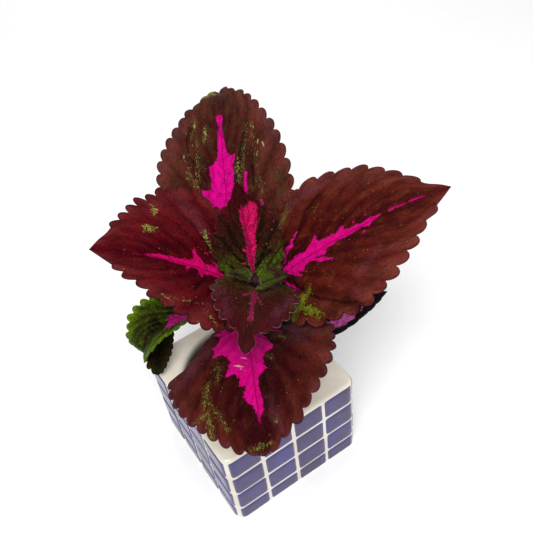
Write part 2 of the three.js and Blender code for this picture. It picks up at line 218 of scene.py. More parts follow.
def newMaterial(name, **constants):  # constants go straight on the shader's own sockets
    material = bpy.data.materials.new(name)
    material.use_nodes = True
    nodes = Nodes(material.node_tree)
    nodes.shader = material.node_tree.nodes["Principled BSDF"]
    for key, value in constants.items():
        nodes.shader.inputs[key.replace("_", " ")].default_value = value
    return material, nodes


def newTree(name, values):  # takes the geometry and an input for each of the values
    tree = bpy.data.node_groups.new(name, "GeometryNodeTree")
    tree.interface.new_socket("Geometry", in_out="INPUT", socket_type="NodeSocketGeometry")
    for label, value in values.items():
        kind = {int: "Int", float: "Float"}.get(type(value), "Material")
        tree.interface.new_socket(label, in_out="INPUT", socket_type=f"NodeSocket{kind}")
    tree.interface.new_socket("Geometry", in_out="OUTPUT", socket_type="NodeSocketGeometry")
    nodes = Nodes(tree)
    return tree, nodes, nodes.add("NodeGroupInput").outputs


def runTree(piece, tree, values, name):
    modifier = piece.modifiers.new(tree.name, "NODES")
    modifier.node_group = tree
    for item in tree.interface.items_tree:
        if item.in_out == "INPUT" and item.name in values:
            modifier[item.identifier] = values[item.name]
    return bakeModifier(piece, name)


def finishScatter(nodes, copies, material, ground, groundFirst):  # real faces, with their ground
    loose = nodes.shape("RealizeInstances", {"Geometry": copies})
    dressed = nodes.shape("SetMaterial", {"Geometry": loose, "Material": material})
    both = nodes.add("GeometryNodeJoinGeometry")
    for part in (ground, dressed) if groundFirst else (dressed, ground):
        nodes.put(both.inputs[0], part)
    nodes.add("NodeGroupOutput", {"Geometry": both.outputs[0]})


# camera, lights and floor

camera = {
    "azimuth": -27.78, "elevation": 46.5, "roll": -8.29,  # degrees, azimuth 0 looks along +Y
    "distance": 0.5292, "offset": (0.0046, 0.1201),  # metres from the pot's base to the lens
    "focal": 48.47, "sensor": 36.0,
}


def placeCamera(settings):
    azimuth, elevation, roll = (math.radians(settings[key]) for key in ("azimuth", "elevation", "roll"))
    level = math.cos(elevation)
    back = Vector((math.sin(azimuth) * level, -math.cos(azimuth) * level, math.sin(elevation)))
    right = Vector((math.cos(azimuth), math.sin(azimuth), 0))
    up = back.cross(right)
    c, s = math.cos(roll), math.sin(roll)
    right, up = c * right + s * up, c * up - s * right
    data = bpy.data.cameras.new("camera")
    data.lens = settings["focal"]
    data.sensor_width = settings["sensor"]
    data.clip_start = 10 * mm
    lens = bpy.data.objects.new("camera", data)
    place = right * settings["offset"][0] + up * settings["offset"][1] + back * settings["distance"]
    lens.matrix_world = Matrix.Translation(place) @ Matrix((right, up, back)).transposed().to_4x4()
    bpy.context.collection.objects.link(lens)
    bpy.context.scene.camera = lens


lights = {
    "key": {"place": (-0.35, -0.5, 1.2), "size": 0.7, "power": 17.0},
    "fill": {"place": (0.9, -0.7, 0.8), "size": 0.9, "power": 3.0},
    "window": {"place": (0.45, 1.0, 0.55), "size": 0.5, "power": 2.5},
    "aim": (0, 0, 0.1), "sky": 0.45,
}


def placeLights(settings):
    for name in ("key", "fill", "window"):
        values = settings[name]
        data = bpy.data.lights.new(name, "AREA")
        data.energy = values["power"]
        data.size = values["size"]
        lamp = bpy.data.objects.new(name, data)
        place = Vector(values["place"])
        turn = (Vector(settings["aim"]) - place).to_track_quat("-Z", "Y")
        lamp.matrix_world = Matrix.Translation(place) @ turn.to_matrix().to_4x4()
        bpy.context.collection.objects.link(lamp)
    world = bpy.data.worlds.new("studio")
    world.use_nodes = True
    sky = world.node_tree.nodes["Background"]
    sky.inputs["Color"].default_value = (1, 1, 1, 1)
    sky.inputs["Strength"].default_value = settings["sky"]
    bpy.context.scene.world = world
    bpy.context.scene.view_settings.view_transform = "Standard"


def placeFloor():
    material, nodes = newMaterial("floorPaint", Roughness=0.85)
    grain = nodes.noise(nodes.coordinates(), 40.0, 3.0)
    nodes.paint(nodes.mix(grain, (0.9, 0.9, 0.9, 1), (0.93, 0.93, 0.93, 1)))
    reach = 3.0  # metres each way
    corners = [(-reach, -reach, 0), (reach, -reach, 0), (reach, reach, 0), (-reach, reach, 0)]
    meshPiece("studioFloor", corners, [(0, 1, 2, 3)], [material], flat=True)


placeCamera(camera)
placeLights(lights)
placeFloor()
print("stage: camera, lights and floor placed")


# pot: one rounded square body, with tiles wrapped round it

pot = {
    "width": 100 * mm, "depth": 102 * mm, "height": 78 * mm,
    "corner": 6.5 * mm, "relief": 0.5 * mm,
    "topEdge": 2.2 * mm, "footEdge": 3.0 * mm,
    "mouth": 43.5 * mm, "lip": 5.0 * mm, "wellFloor": 9 * mm,
    "columns": 4, "rows": 4, "firstTop": 75.7 * mm, "rowPitch": 20.4 * mm, "foot": 2.2 * mm,
    "joint": 2.0 * mm, "thickness": 2.4 * mm, "seed": 4,
    "placeSway": (0.2 * mm, 0.12 * mm, 0.2 * mm),
    "turnSway": (0.012, 0.012, 0.008),  # radians either way
    "cream": tint(226, 220, 206), "creamShade": tint(206, 197, 180), "speck": tint(170, 152, 126),
    # inside is painted shade: the dark that the mouth's inner wall turns to below the rim
    "inside": tint(60, 50, 44),
    "violet": tint(58, 54, 122), "plum": tint(62, 44, 82), "sky": tint(96, 102, 146),
}


def roundedRing(width, depth, radius, count):  # points evenly spaced along a rounded rectangle
    x, y = width / 2 - radius, depth / 2 - radius
    corners = [(x, y, 0), (-x, y, 90), (-x, -y, 180), (x, -y, 270)]
    steps = 12
    outline = []
    for cx, cy, start in corners:
        for step in range(steps + 1):
            angle = math.radians(start + 90 * step / steps)
            outline.append((cx + radius * math.cos(angle), cy + radius * math.sin(angle)))
    outline = np.array(outline + outline[:1])
    run = np.concatenate([[0], np.cumsum(np.linalg.norm(np.diff(outline, axis=0), axis=1))])
    places = np.linspace(0, run[-1], count, endpoint=False)
    return np.stack([np.interp(places, run, outline[:, k]) for k in (0, 1)], axis=1)


def creamMaterial(settings):  # milky, with faint specks and a gentle orange peel, and painted shade darkening the mouth's inner wall downwards
    material, nodes = newMaterial("creamGlaze", Roughness=0.3, Coat_Weight=0.25, Coat_Roughness=0.1)
    position = nodes.coordinates()
    cloud = nodes.noise(position, 35.0, 4.0, 0.6)
    colour = nodes.cover(settings["cream"], settings["creamShade"], cloud, 0.3, 0.75)
    specks = nodes.cells(position, 420.0)["Distance"]
    colour = nodes.cover(colour, settings["speck"], specks, 0.10, 0.16, 0.3, 0.0)
    apart = nodes.split(position)
    radius = nodes.vector("LENGTH", nodes.combine(apart["X"], apart["Y"]))
    # painted shade: the wall inside the mouth darkens towards the soil
    deep = nodes.ramp(apart["Z"], settings["height"] - 11 * mm, settings["height"] - 0.5 * mm, 1.0, 0.0)
    inside = nodes.math("LESS_THAN", radius, settings["mouth"] + settings["lip"] * 0.9)
    colour = nodes.mix(nodes.times(deep, inside), colour, settings["inside"])
    nodes.paint(colour, nodes.noise(position, 160.0, 2.0), 0.12, 0.6 * mm)
    return material


def violetMaterial(settings):  # pooled dark in the middle of a tile, breaking pale blue at its edges
    material, nodes = newMaterial("violetGlaze", Roughness=0.22, IOR=1.35)
    position = nodes.coordinates()
    cloud = nodes.noise(position, 55.0, 5.0, 0.6, 0.4)
    colour = nodes.cover(settings["violet"], settings["plum"], cloud, 0.32, 0.68)
    colour = nodes.cover(colour, settings["plum"], nodes.attribute("tileTone"), 0.0, 1.0, 0.0, 0.45)
    edge = nodes.plus(nodes.attribute("tileEdge"), nodes.times(cloud, 0.22))
    colour = nodes.cover(colour, settings["sky"], edge, 0.95, 1.15, 0.0, 0.4)
    nodes.paint(colour, nodes.noise(position, 90.0, 3.0), 0.3, 1.0 * mm)
    return material


def makePotBody(settings, material):
    count, steps = 240, 8  # points in a ring, rings in a rounded edge
    relief, height, floor = settings["relief"], settings["height"], settings["wellFloor"]
    width, depth = settings["width"] - 2 * relief, settings["depth"] - 2 * relief
    corner = settings["corner"] - relief
    rings = []

    def squareRing(shrink, z):
        ring = roundedRing(width - 2 * shrink, depth - 2 * shrink, max(corner - shrink, 0.4 * mm), count)
        rings.append(np.column_stack([ring, np.full(count, z)]))

    def roundRing(radius, z):
        guide = roundedRing(width, depth, corner, count)
        angle = np.arctan2(guide[:, 1], guide[:, 0])
        rings.append(np.column_stack([radius * np.cos(angle), radius * np.sin(angle), np.full(count, z)]))

    foot, edge = settings["footEdge"], settings["topEdge"]
    for share in (1.0, 0.92, 0.7, 0.4, 0.0):  # rounded foot
        squareRing(foot * (1 - math.sqrt(max(0, 1 - share * share))), foot * (1 - share))
    for z in np.linspace(foot, height - edge, 14)[1:-1]:
        squareRing(0, z)
    for step in range(steps + 1):  # rounded top edge
        angle = math.pi / 2 * step / steps
        squareRing(edge * (1 - math.cos(angle)), height - edge * (1 - math.sin(angle)))
    lip, mouth = settings["lip"], settings["mouth"]
    flat = rings[-1]
    reach = np.linalg.norm(flat[:, :2], axis=1)[:, None]
    start = np.column_stack([flat[:, :2] * (mouth + lip) / reach, flat[:, 2]])
    for share in (0.35, 0.7):
        rings.append(flat * (1 - share) + start * share)
    for step in range(steps + 1):  # softly rounded mouth
        angle = math.pi / 2 * step / steps
        roundRing(mouth + lip * (1 - math.sin(angle)), height - lip * (1 - math.cos(angle)))
    for z in (height - 6 * mm, height - 14 * mm, 30 * mm, floor + 3 * mm):
        roundRing(mouth, z)
    roundRing(mouth - 3 * mm, floor)
    points = np.vstack([*rings, [0, 0, 0], [0, 0, floor]])
    return meshPiece("potBody", points, tubeFaces(len(rings), count), [material])


def tileTree(name, values, placeSway, turnSway):  # rows of rounded tiles laid along a curve
    tree, nodes, given = newTree(name, values)
    length = nodes.shape("CurveLength", {"Curve": given["Geometry"]})
    pitch = nodes.math("DIVIDE", length, given["Columns"])

    # one tile of unit size, its edges rounded by subdivision
    cube = nodes.shape("MeshCube", {"Size": (1, 1, 1), "Vertices X": 8, "Vertices Y": 3, "Vertices Z": 7})
    apart = nodes.split(nodes.shape("InputPosition"))
    farthest = nodes.math("MAXIMUM", nodes.math("ABSOLUTE", apart["X"]), nodes.math("ABSOLUTE", apart["Z"]))
    tile = nodes.shape("StoreNamedAttribute", {
        "Geometry": cube, "Name": "tileEdge", "Value": nodes.times(farthest, 2.0),
    }, data_type="FLOAT", domain="POINT")
    tile = nodes.shape("SubdivisionSurface", {"Mesh": tile, "Level": 1})

    # where each tile stands, flat: X along the curve, Y outwards, Z up
    index = nodes.shape("InputIndex")
    column = nodes.math("MODULO", index, given["Columns"])
    row = nodes.math("FLOOR", nodes.math("DIVIDE", index, given["Columns"]))
    top = nodes.minus(given["First Top"], nodes.times(row, given["Row Pitch"]))
    low = nodes.minus(top, nodes.minus(given["Row Pitch"], given["Joint"]))
    low = nodes.math("MAXIMUM", low, given["Foot"])
    along = nodes.times(nodes.plus(column, 0.5), pitch)
    middle = nodes.times(nodes.plus(top, low), 0.5)
    sway = nodes.randomVector(given["Seed"], [-value for value in placeSway], placeSway)
    turn = nodes.randomVector(nodes.plus(given["Seed"], 1), [-value for value in turnSway], turnSway)
    points = nodes.shape("Points", {
        "Count": nodes.times(given["Columns"], given["Rows"]),
        "Position": nodes.vector("ADD", nodes.combine(along, 0.0, middle), sway),
    })
    held = nodes.add("GeometryNodeCaptureAttribute", {"Geometry": points}, domain="POINT")
    held.capture_items.new("VECTOR", "size")
    size = nodes.combine(nodes.minus(pitch, given["Joint"]), given["Thickness"], nodes.minus(top, low))
    nodes.put(held.inputs[1], size)
    laid = nodes.shape("InstanceOnPoints", {
        "Points": held.outputs[0], "Instance": tile, "Rotation": turn, "Scale": held.outputs[1],
    })
    toned = nodes.shape("StoreNamedAttribute", {
        "Geometry": laid, "Name": "tileTone", "Value": nodes.randomFloat(nodes.plus(given["Seed"], 2)),
    }, data_type="FLOAT", domain="INSTANCE")
    loose = nodes.shape("RealizeInstances", {"Geometry": toned})

    # wrap the flat rows round the curve
    apart = nodes.split(nodes.shape("InputPosition"))
    sample = nodes.add("GeometryNodeSampleCurve", {
        "Curves": given["Geometry"], "Length": apart["X"],
    }, mode="LENGTH")
    outward = nodes.vector("CROSS_PRODUCT", sample.outputs["Tangent"], (0, 0, 1))
    spot = nodes.vector("ADD", sample.outputs["Position"], nodes.vector("SCALE", outward, scale=apart["Y"]))
    wrapped = nodes.shape("SetPosition", {
        "Geometry": loose, "Position": nodes.vector("ADD", spot, nodes.combine(z=apart["Z"])),
    })
    smooth = nodes.shape("SetShadeSmooth", {"Geometry": wrapped, "Shade Smooth": True})
    glazed = nodes.shape("SetMaterial", {"Geometry": smooth, "Material": given["Glaze"]})
    nodes.add("NodeGroupOutput", {"Geometry": glazed})
    return tree


def makeTiles(settings, material):
    values = {
        "Columns": settings["columns"], "Rows": settings["rows"], "First Top": settings["firstTop"],
        "Row Pitch": settings["rowPitch"], "Foot": settings["foot"], "Joint": settings["joint"],
        "Thickness": settings["thickness"], "Seed": settings["seed"], "Glaze": material,
    }
    tree = tileTree("wrappedTiles", values, settings["placeSway"], settings["turnSway"])
    width, depth, relief = settings["width"], settings["depth"], settings["relief"]
    deep = relief - settings["thickness"] / 2  # tile centres lie this far outside the path
    outer = roundedRing(width - 2 * relief, depth - 2 * relief, settings["corner"] - relief, 800)
    angle = np.degrees(np.arctan2(outer[:, 1] / depth, outer[:, 0] / width)) % 360
    sides = []
    for number, start in enumerate((45, 135, 225, 315)):  # one open path for each side, corner to corner
        share = (angle - start) % 360
        chosen = outer[share < 90][np.argsort(share[share < 90])]
        data = bpy.data.curves.new("tilePath", "CURVE")
        data.dimensions = "3D"
        spline = data.splines.new("POLY")
        spline.points.add(len(chosen) - 1)
        for point, (x, y) in zip(spline.points, chosen):
            push = 1 + deep / np.hypot(x, y)
            point.co = (x * push, y * push, 0, 1)
        path = bpy.data.objects.new("tilePath", data)
        bpy.context.collection.objects.link(path)
        values["Seed"] = settings["seed"] + 10 * number
        sides.append(runTree(path, tree, values, f"potTiles{number}"))
    return joinPieces(sides, "potTiles")


creamGlaze, violetGlaze = creamMaterial(pot), violetMaterial(pot)
for potPiece in (makePotBody(pot, creamGlaze), makeTiles(pot, violetGlaze)):
    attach(potPiece, "root")
    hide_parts("pot")
print("stage: pot made")


# soil: a crumbly mound, with crumbs scattered on it

soil = {
    "radius": 42.8 * mm, "top": 68 * mm, "bottom": 10 * mm, "rise": 1.0 * mm, "roughness": 1.3 * mm,
    "waves": (9 * mm, 5 * mm, 3 * mm, 2 * mm),
    "crumbs": 260000.0,  # to the square metre
    "crumbSize": (0.4 * mm, 1.6 * mm), "bareEdge": 2 * mm, "seed": 7,
    "dark": tint(26, 18, 14), "light": tint(64, 46, 32),
}


def soilMaterial(settings):
    material, nodes = newMaterial("pottingMix", Roughness=0.95)
    cloud = nodes.noise(nodes.coordinates(), 260.0, 6.0, 0.7)
    colour = nodes.cover(settings["dark"], settings["light"], cloud, 0.35, 0.75)
    nodes.paint(colour, cloud, 0.8, 1.5 * mm)
    return material


def crumbTree(name, values):  # lumps thrown on the upward faces
    tree, nodes, given = newTree(name, values)
    apart = nodes.split(nodes.shape("InputPosition"))
    radius = nodes.vector("LENGTH", nodes.combine(apart["X"], apart["Y"]))
    facing = nodes.split(nodes.shape("InputNormal"))["Z"]
    inside = nodes.math("LESS_THAN", radius, given["Reach"])
    thrown = nodes.add("GeometryNodeDistributePointsOnFaces", {
        "Mesh": given["Geometry"], "Density": given["Density"], "Seed": given["Seed"],
        "Selection": nodes.times(inside, nodes.math("GREATER_THAN", facing, 0.5)),
    })
    lump = nodes.shape("MeshIcoSphere", {"Radius": 1.0, "Subdivisions": 1})
    turn = nodes.randomVector(given["Seed"], (0, 0, 0), (6.28, 6.28, 6.28))
    stretch = nodes.randomVector(nodes.plus(given["Seed"], 1), (0.5, 0.5, 0.4), (1, 1, 1))
    skewed = nodes.math("POWER", nodes.randomFloat(nodes.plus(given["Seed"], 2)), 3.0)  # mostly small ones
    spread = nodes.times(skewed, nodes.minus(given["Largest"], given["Smallest"]))
    size = nodes.plus(given["Smallest"], spread)
    lumps = nodes.shape("InstanceOnPoints", {
        "Points": thrown.outputs["Points"], "Instance": lump, "Rotation": turn,
        "Scale": nodes.vector("SCALE", stretch, scale=size),
    })
    finishScatter(nodes, lumps, given["Mix"], given["Geometry"], groundFirst=True)
    return tree


def makeSoil(settings, material):
    around, out = 120, 40
    angle = np.linspace(0, 2 * np.pi, around, endpoint=False)[None, :]
    radius = settings["radius"] * np.sqrt(np.linspace(0.0004, 1, out))[:, None]
    x, y = radius * np.cos(angle), radius * np.sin(angle)
    height = settings["top"] + settings["rise"] * (1 - (radius / settings["radius"]) ** 2) + 0 * x
    rough = np.random.default_rng(settings["seed"])
    for size in settings["waves"]:  # overlapping, each finer and lower
        for _ in range(5):
            heading, phase = rough.uniform(0, 2 * np.pi, 2)
            wave = np.sin((x * np.cos(heading) + y * np.sin(heading)) / size + phase)
            height = height + settings["roughness"] * wave * size / (60 * mm)
    top = np.stack([x, y, height], axis=-1).reshape(-1, 3)
    low = top[-around:].copy()
    low[:, 2] = settings["bottom"]
    points = np.vstack([top, low, [0, 0, settings["bottom"]], [0, 0, float(height[0].mean())]])
    faces = [(b, c, d, a) for a, b, c, d in gridFaces(out + 1, around, closed=True)]
    bottomPoint, topPoint, last = len(points) - 2, len(points) - 1, out * around
    for j in range(around):
        k = (j + 1) % around
        faces.append((last + j, last + k, bottomPoint))
        faces.append((k, j, topPoint))
    mound = meshPiece("soilMound", points, faces, [material])
    smallest, largest = settings["crumbSize"]
    values = {
        "Density": settings["crumbs"], "Smallest": smallest, "Largest": largest,
        "Reach": settings["radius"] - settings["bareEdge"], "Seed": settings["seed"], "Mix": material,
    }
    return runTree(mound, crumbTree("scatteredCrumbs", values), values, "soilMound")


soilPiece = makeSoil(soil, soilMaterial(soil))
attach(soilPiece, "root")
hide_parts("soil")
print("stage: soil made")


# stem: square and grooved, swollen where each pair of leaves leaves it

stem = {
    "foot": (7 * mm, 2 * mm, 46 * mm), "tip": (15 * mm, -1.5 * mm, 155 * mm), "sway": 1.2 * mm,
    "footRadius": 3.2 * mm, "tipRadius": 1.5 * mm, "square": 0.8, "groove": 0.06,
    "swelling": 0.9 * mm, "swellingReach": 1.8 * mm, "budHeight": 4.0 * mm, "budRadius": 2.0 * mm,
    "nodes": (84 * mm, 94 * mm, 108 * mm, 130 * mm, 147 * mm, 152 * mm),
    "green": tint(96, 92, 52), "plum": tint(90, 30, 52), "rose": tint(150, 44, 92),
    "tipPurple": tint(34, 8, 20),
}


def stemPoint(height):
    foot, tip = np.array(stem["foot"]), np.array(stem["tip"])
    share = (height - foot[2]) / (tip[2] - foot[2])
    point = foot + (tip - foot) * share
    point[0] += stem["sway"] * math.sin(share * 2 * math.pi)
    return point


def stalkMaterial(name, settings):
    material, nodes = newMaterial(name, Roughness=0.6, Specular_IOR_Level=0.15)
    position = nodes.coordinates()
    cloud = nodes.noise(position, 180.0, 4.0)
    height = nodes.split(position)["Z"]
    colour = nodes.cover(settings["green"], settings["plum"], cloud, 0.3, 0.7)
    colour = nodes.cover(colour, settings["rose"], height, 90 * mm, 130 * mm)
    colour = nodes.cover(colour, settings["tipPurple"], height, 144 * mm, 153 * mm)
    streak = nodes.noise(nodes.vector("MULTIPLY", position, (1.0, 1.0, 0.12)), 900.0, 2.0)
    colour = nodes.cover(colour, settings["plum"], streak, 0.45, 0.75, 0.0, 0.5)
    nodes.paint(colour, streak, 0.3, 0.4 * mm)
    return material


def tube(path, radii, sides, square=0.0, groove=0.0):
    path = np.array(path)
    along = unit(np.gradient(path, axis=0))
    reference = np.array([0.0, 1.0, 0.0]) if abs(along[0][2]) > 0.8 else np.array([0.0, 0.0, 1.0])
    across = unit(np.cross(reference, along))
    over = np.cross(along, across)
    angle = np.linspace(0, 2 * np.pi, sides, endpoint=False)
    corner = 1 / (np.cos(angle) ** 4 + np.sin(angle) ** 4) ** 0.25
    reach = (1 + (corner - 1) * square) * (1 - groove * np.cos(4 * angle) ** 8)
    reach = np.array(radii)[:, None] * reach[None, :]
    points = path[:, None] + across[:, None] * (reach * np.cos(angle))[..., None]
    points = points + over[:, None] * (reach * np.sin(angle))[..., None]
    return np.vstack([points.reshape(-1, 3), path[0], path[-1]]), tubeFaces(len(path), sides)


def makeStem(settings, material):
    foot, tip, budHeight = settings["foot"][2], settings["tip"][2], settings["budHeight"]
    heights = np.linspace(foot, tip + budHeight, 240)
    share = np.minimum((heights - foot) / (tip - foot), 1)
    radii = settings["footRadius"] + (settings["tipRadius"] - settings["footRadius"]) * share
    for node in settings["nodes"]:
        radii = radii + settings["swelling"] * np.exp(-((heights - node) / settings["swellingReach"]) ** 2)
    neck = 2 * mm  # below the tip, where the bud begins
    bud = np.clip((heights - tip + neck) / (budHeight + neck), 0, 1)
    bulge = np.sqrt(np.maximum(bud * (1 - bud), 0)) * 2
    radii = radii * np.sqrt(1 - bud ** 2 * 0.98) + settings["budRadius"] * bulge
    path = [stemPoint(z) for z in heights]
    points, faces = tube(path, radii, 32, settings["square"], settings["groove"])
    return meshPiece("mainStem", points, faces, [material])


stalkSkin = stalkMaterial("stalkSkin", stem)
stemPiece = makeStem(stem, stalkSkin)
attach(stemPiece, "root")
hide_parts("stem")
print("stage: stem made")


# leaves: lengths in millimetres and angles in degrees, as in the part's own plans

blade = {
    "thickness": 0.5, "solidThickness": 0.75, "rowStep": 0.42,  # the stalks meet the part's thicker solids
    "toothStart": 0.78, "toothLean": 0.22, "toothSizes": (0.75, 1.2),
    "veinSweep": 0.9, "veinDepth": 1.5, "veinWidth": 0.34, "veinStrengths": (0.5, 1.3), "puff": 0.35,
    "midribGroove": 0.45, "grooveWidth": 0.8, "creaseDepth": 1.2, "creaseWidth": 1.5,
    "swell": ((34, 0.7), (21, 0.45), (11, 0.22), (6.5, 0.12)),  # length and height of uneven waves
    # the last two: how much the painted shade strokes darken and the painted light strokes lighten the
    # colour
    "swellShare": 0.6, "shade": -0.42, "glow": 0.28,
}

commonPlan = {
    "droopPower": 1, "bend": 0, "roll": 0, "twist": 0, "ridgeEnd": 0.9, "firstVein": (0.1, 0.1),
    "veinSpacing": 0.133, "veinLead": 0.42, "deepVein": (0, 0, 1), "waists": [], "turned": None,
    "tipCurl": 0, "grain": 1.0,
}


def leafPlan(**changes):
    return {**commonPlan, **changes}


# Besides the part's own values: left and right hold the teeth of that margin (count, first and last share
# of the margin's run, depth), waists narrow the blade (left and right share, place, spread), deepVein sinks
# one vein more (side, number, factor), and turned bends part of a margin down (side, share of the run where
# it fades out, share across where it starts, angle).
leafPlans = {
    "leaf_right": leafPlan(
        look="brown", seed=146, node=130, base=(33, -4, 151), heading=-29, rise=39, droop=-19, bend=-3,
        roll=9, twist=2, length=110, half=51, fold=10, curl=21, basePower=0.5, tipPower=1.09, lobe=0.18,
        petiole=1.5, columns=40, left=(11, 0.08, 0.885, 4.0), right=(13, 0.08, 0.92, 4.4), quilt=0.5,
        firstVein=(0.0, 0.5), deepVein=(-1, 3, 2.6), waists=[(0.3, 0.15, 0.9, 0.07), (0, 0.07, 0.24, 0.16)],
    ),
    "leaf_left": leafPlan(
        look="burgundy", seed=149, node=130, base=(5, 15, 150), heading=161, rise=48, droop=-21, bend=6,
        roll=-10, twist=-2, length=88, half=51, fold=18, curl=13, basePower=0.49, tipPower=1.08, lobe=0.16,
        petiole=1.5, columns=40, left=(14, 0.08, 0.9, 4.8), right=(15, 0.08, 0.865, 5.6), quilt=0.6,
        firstVein=(0.3, 0.3), deepVein=(1, 4, 2.2), waists=[(0.05, 0.14, 0.89, 0.05)],
    ),
    "leaf_back": leafPlan(
        look="olive", seed=124, node=108, base=(29, 53, 143), heading=56, rise=49, droop=-83,
        droopPower=2.5, bend=5, roll=-9, twist=-3, length=114, half=44.5, fold=15, curl=16, basePower=0.47,
        tipPower=1.04, lobe=0.1, petiole=1.6, columns=38, left=(16, 0.08, 0.98, 4.0),
        right=(16, 0.08, 0.98, 4.0), quilt=0.7, waists=[(0.0, -0.08, 0.18, 0.1)], tipCurl=2.7,
    ),
    "leaf_front": leafPlan(
        look="front", seed=124, node=108, base=(2, -8, 127), heading=-117, rise=23, droop=-27,
        droopPower=1.5, bend=1, roll=7, twist=11, length=101, half=48.5, fold=13, curl=19, basePower=0.5,
        tipPower=0.8, lobe=0.12, petiole=1.6, columns=40, left=(15, 0.08, 0.98, 3.8),
        right=(16, 0.08, 0.98, 3.4), quilt=0.6, firstVein=(0.0, 0.0), turned=(-1, 0.44, 0.6, 105),
    ),
    "leaf_young_back": leafPlan(
        look="youngBack", seed=167, node=147, base=(17, 3, 155), heading=64, rise=45, droop=-19, bend=3,
        roll=-5, twist=-4, length=58, half=21, fold=12, curl=20, basePower=0.49, tipPower=1.09, lobe=0.16,
        petiole=1.0, columns=30, left=(10, 0.1, 0.86, 2.6), right=(10, 0.1, 0.86, 2.6), quilt=1.0,
        veinSpacing=0.17, veinLead=0.34, waists=[(0.3, 0.3, 0.84, 0.1)], grain=0.6,
    ),
    "leaf_young_front": leafPlan(
        look="youngFront", seed=168, node=147, base=(12.3, -6.9, 154.2), heading=-125, rise=32, droop=-43,
        bend=-7, roll=-12, length=56, half=24, fold=15, curl=16, basePower=0.4, tipPower=1.0, lobe=0.42,
        petiole=1.0, columns=30, left=(8, 0.06, 0.8, 3.6), right=(8, 0.06, 0.8, 3.6), quilt=0.5,
        veinSpacing=0.16, veinLead=0.3, waists=[(0.62, 0.5, 0.8, 0.085), (-0.4, -0.4, 0.975, 0.025)],
    ),
    "leaf_tip_right": leafPlan(
        look="bud", seed=169, node=155, base=(15.4, -6.2, 156.5), heading=-28, rise=26, droop=-30,
        length=19, half=8.5, fold=22, curl=12, basePower=0.38, tipPower=1.0, lobe=0.16, petiole=0.7,
        columns=14, left=(6, 0.16, 0.91, 0.8), right=(6, 0.16, 0.91, 0.8), quilt=0.25, firstVein=(0.0, 0.0),
    ),
    "leaf_tip_left": leafPlan(
        look="bud", seed=169, node=155, base=(11.6, -1.6, 158.6), heading=154, rise=50, droop=-30,
        length=14, half=5.6, fold=34, curl=10, basePower=0.4, tipPower=1.0, lobe=0.16, petiole=0.7,
        columns=14, left=(6, 0.16, 0.91, 0.8), right=(6, 0.16, 0.91, 0.8), quilt=0.25, firstVein=(0.0, 0.0),
    ),
    "leaf_low_left": leafPlan(
        look="lowGreen", seed=113, node=94, base=(-14, 36, 112), heading=167, rise=9, droop=-105,
        droopPower=1.6, bend=9, roll=4, twist=-5, length=50, half=21, fold=38, curl=23, basePower=0.5,
        tipPower=0.48, lobe=0.08, petiole=1.3, ridgeEnd=0.7, columns=28, left=(11, 0.16, 0.93, 2.2),
        right=(12, 0.16, 0.97, 4.4), quilt=0.7, waists=[(0.3, -0.25, 0.93, 0.07)],
    ),
    "leaf_low_right": leafPlan(
        look="lowDark", seed=112, node=94, base=(37, -24, 112), heading=-22, rise=28, droop=-22, bend=12,
        roll=-13, twist=-6, length=53, half=19, fold=17, curl=15, basePower=0.48, tipPower=1.05, lobe=0.08,
        petiole=1.3, columns=26, left=(7, 0.16, 0.91, 0.8), right=(7, 0.16, 0.91, 0.8), quilt=0.7,
    ),
    "leaf_low_under": leafPlan(
        look="lowOlive", seed=103, node=84, base=(-29, 54, 96), heading=-137, rise=-1, droop=-42, bend=11,
        roll=4, twist=2, length=37, half=10, fold=15, curl=17, basePower=0.5, tipPower=0.62, lobe=0.06,
        petiole=1.1, ridgeEnd=0.7, columns=20, left=(8, 0.16, 0.95, 1.2), right=(7, 0.16, 0.97, 2.6),
        quilt=0.5,
    ),
}


def leafMarks(**lists):  # given in hundredths, widths apart
    names = ("left", "right", "streaks", "flecks", "glints", "blooms", "shades", "glows", "creases")
    return {name: [tuple(value / 100 for value in row[:4]) + row[4:] for row in lists.get(name, [])]
            for name in names}
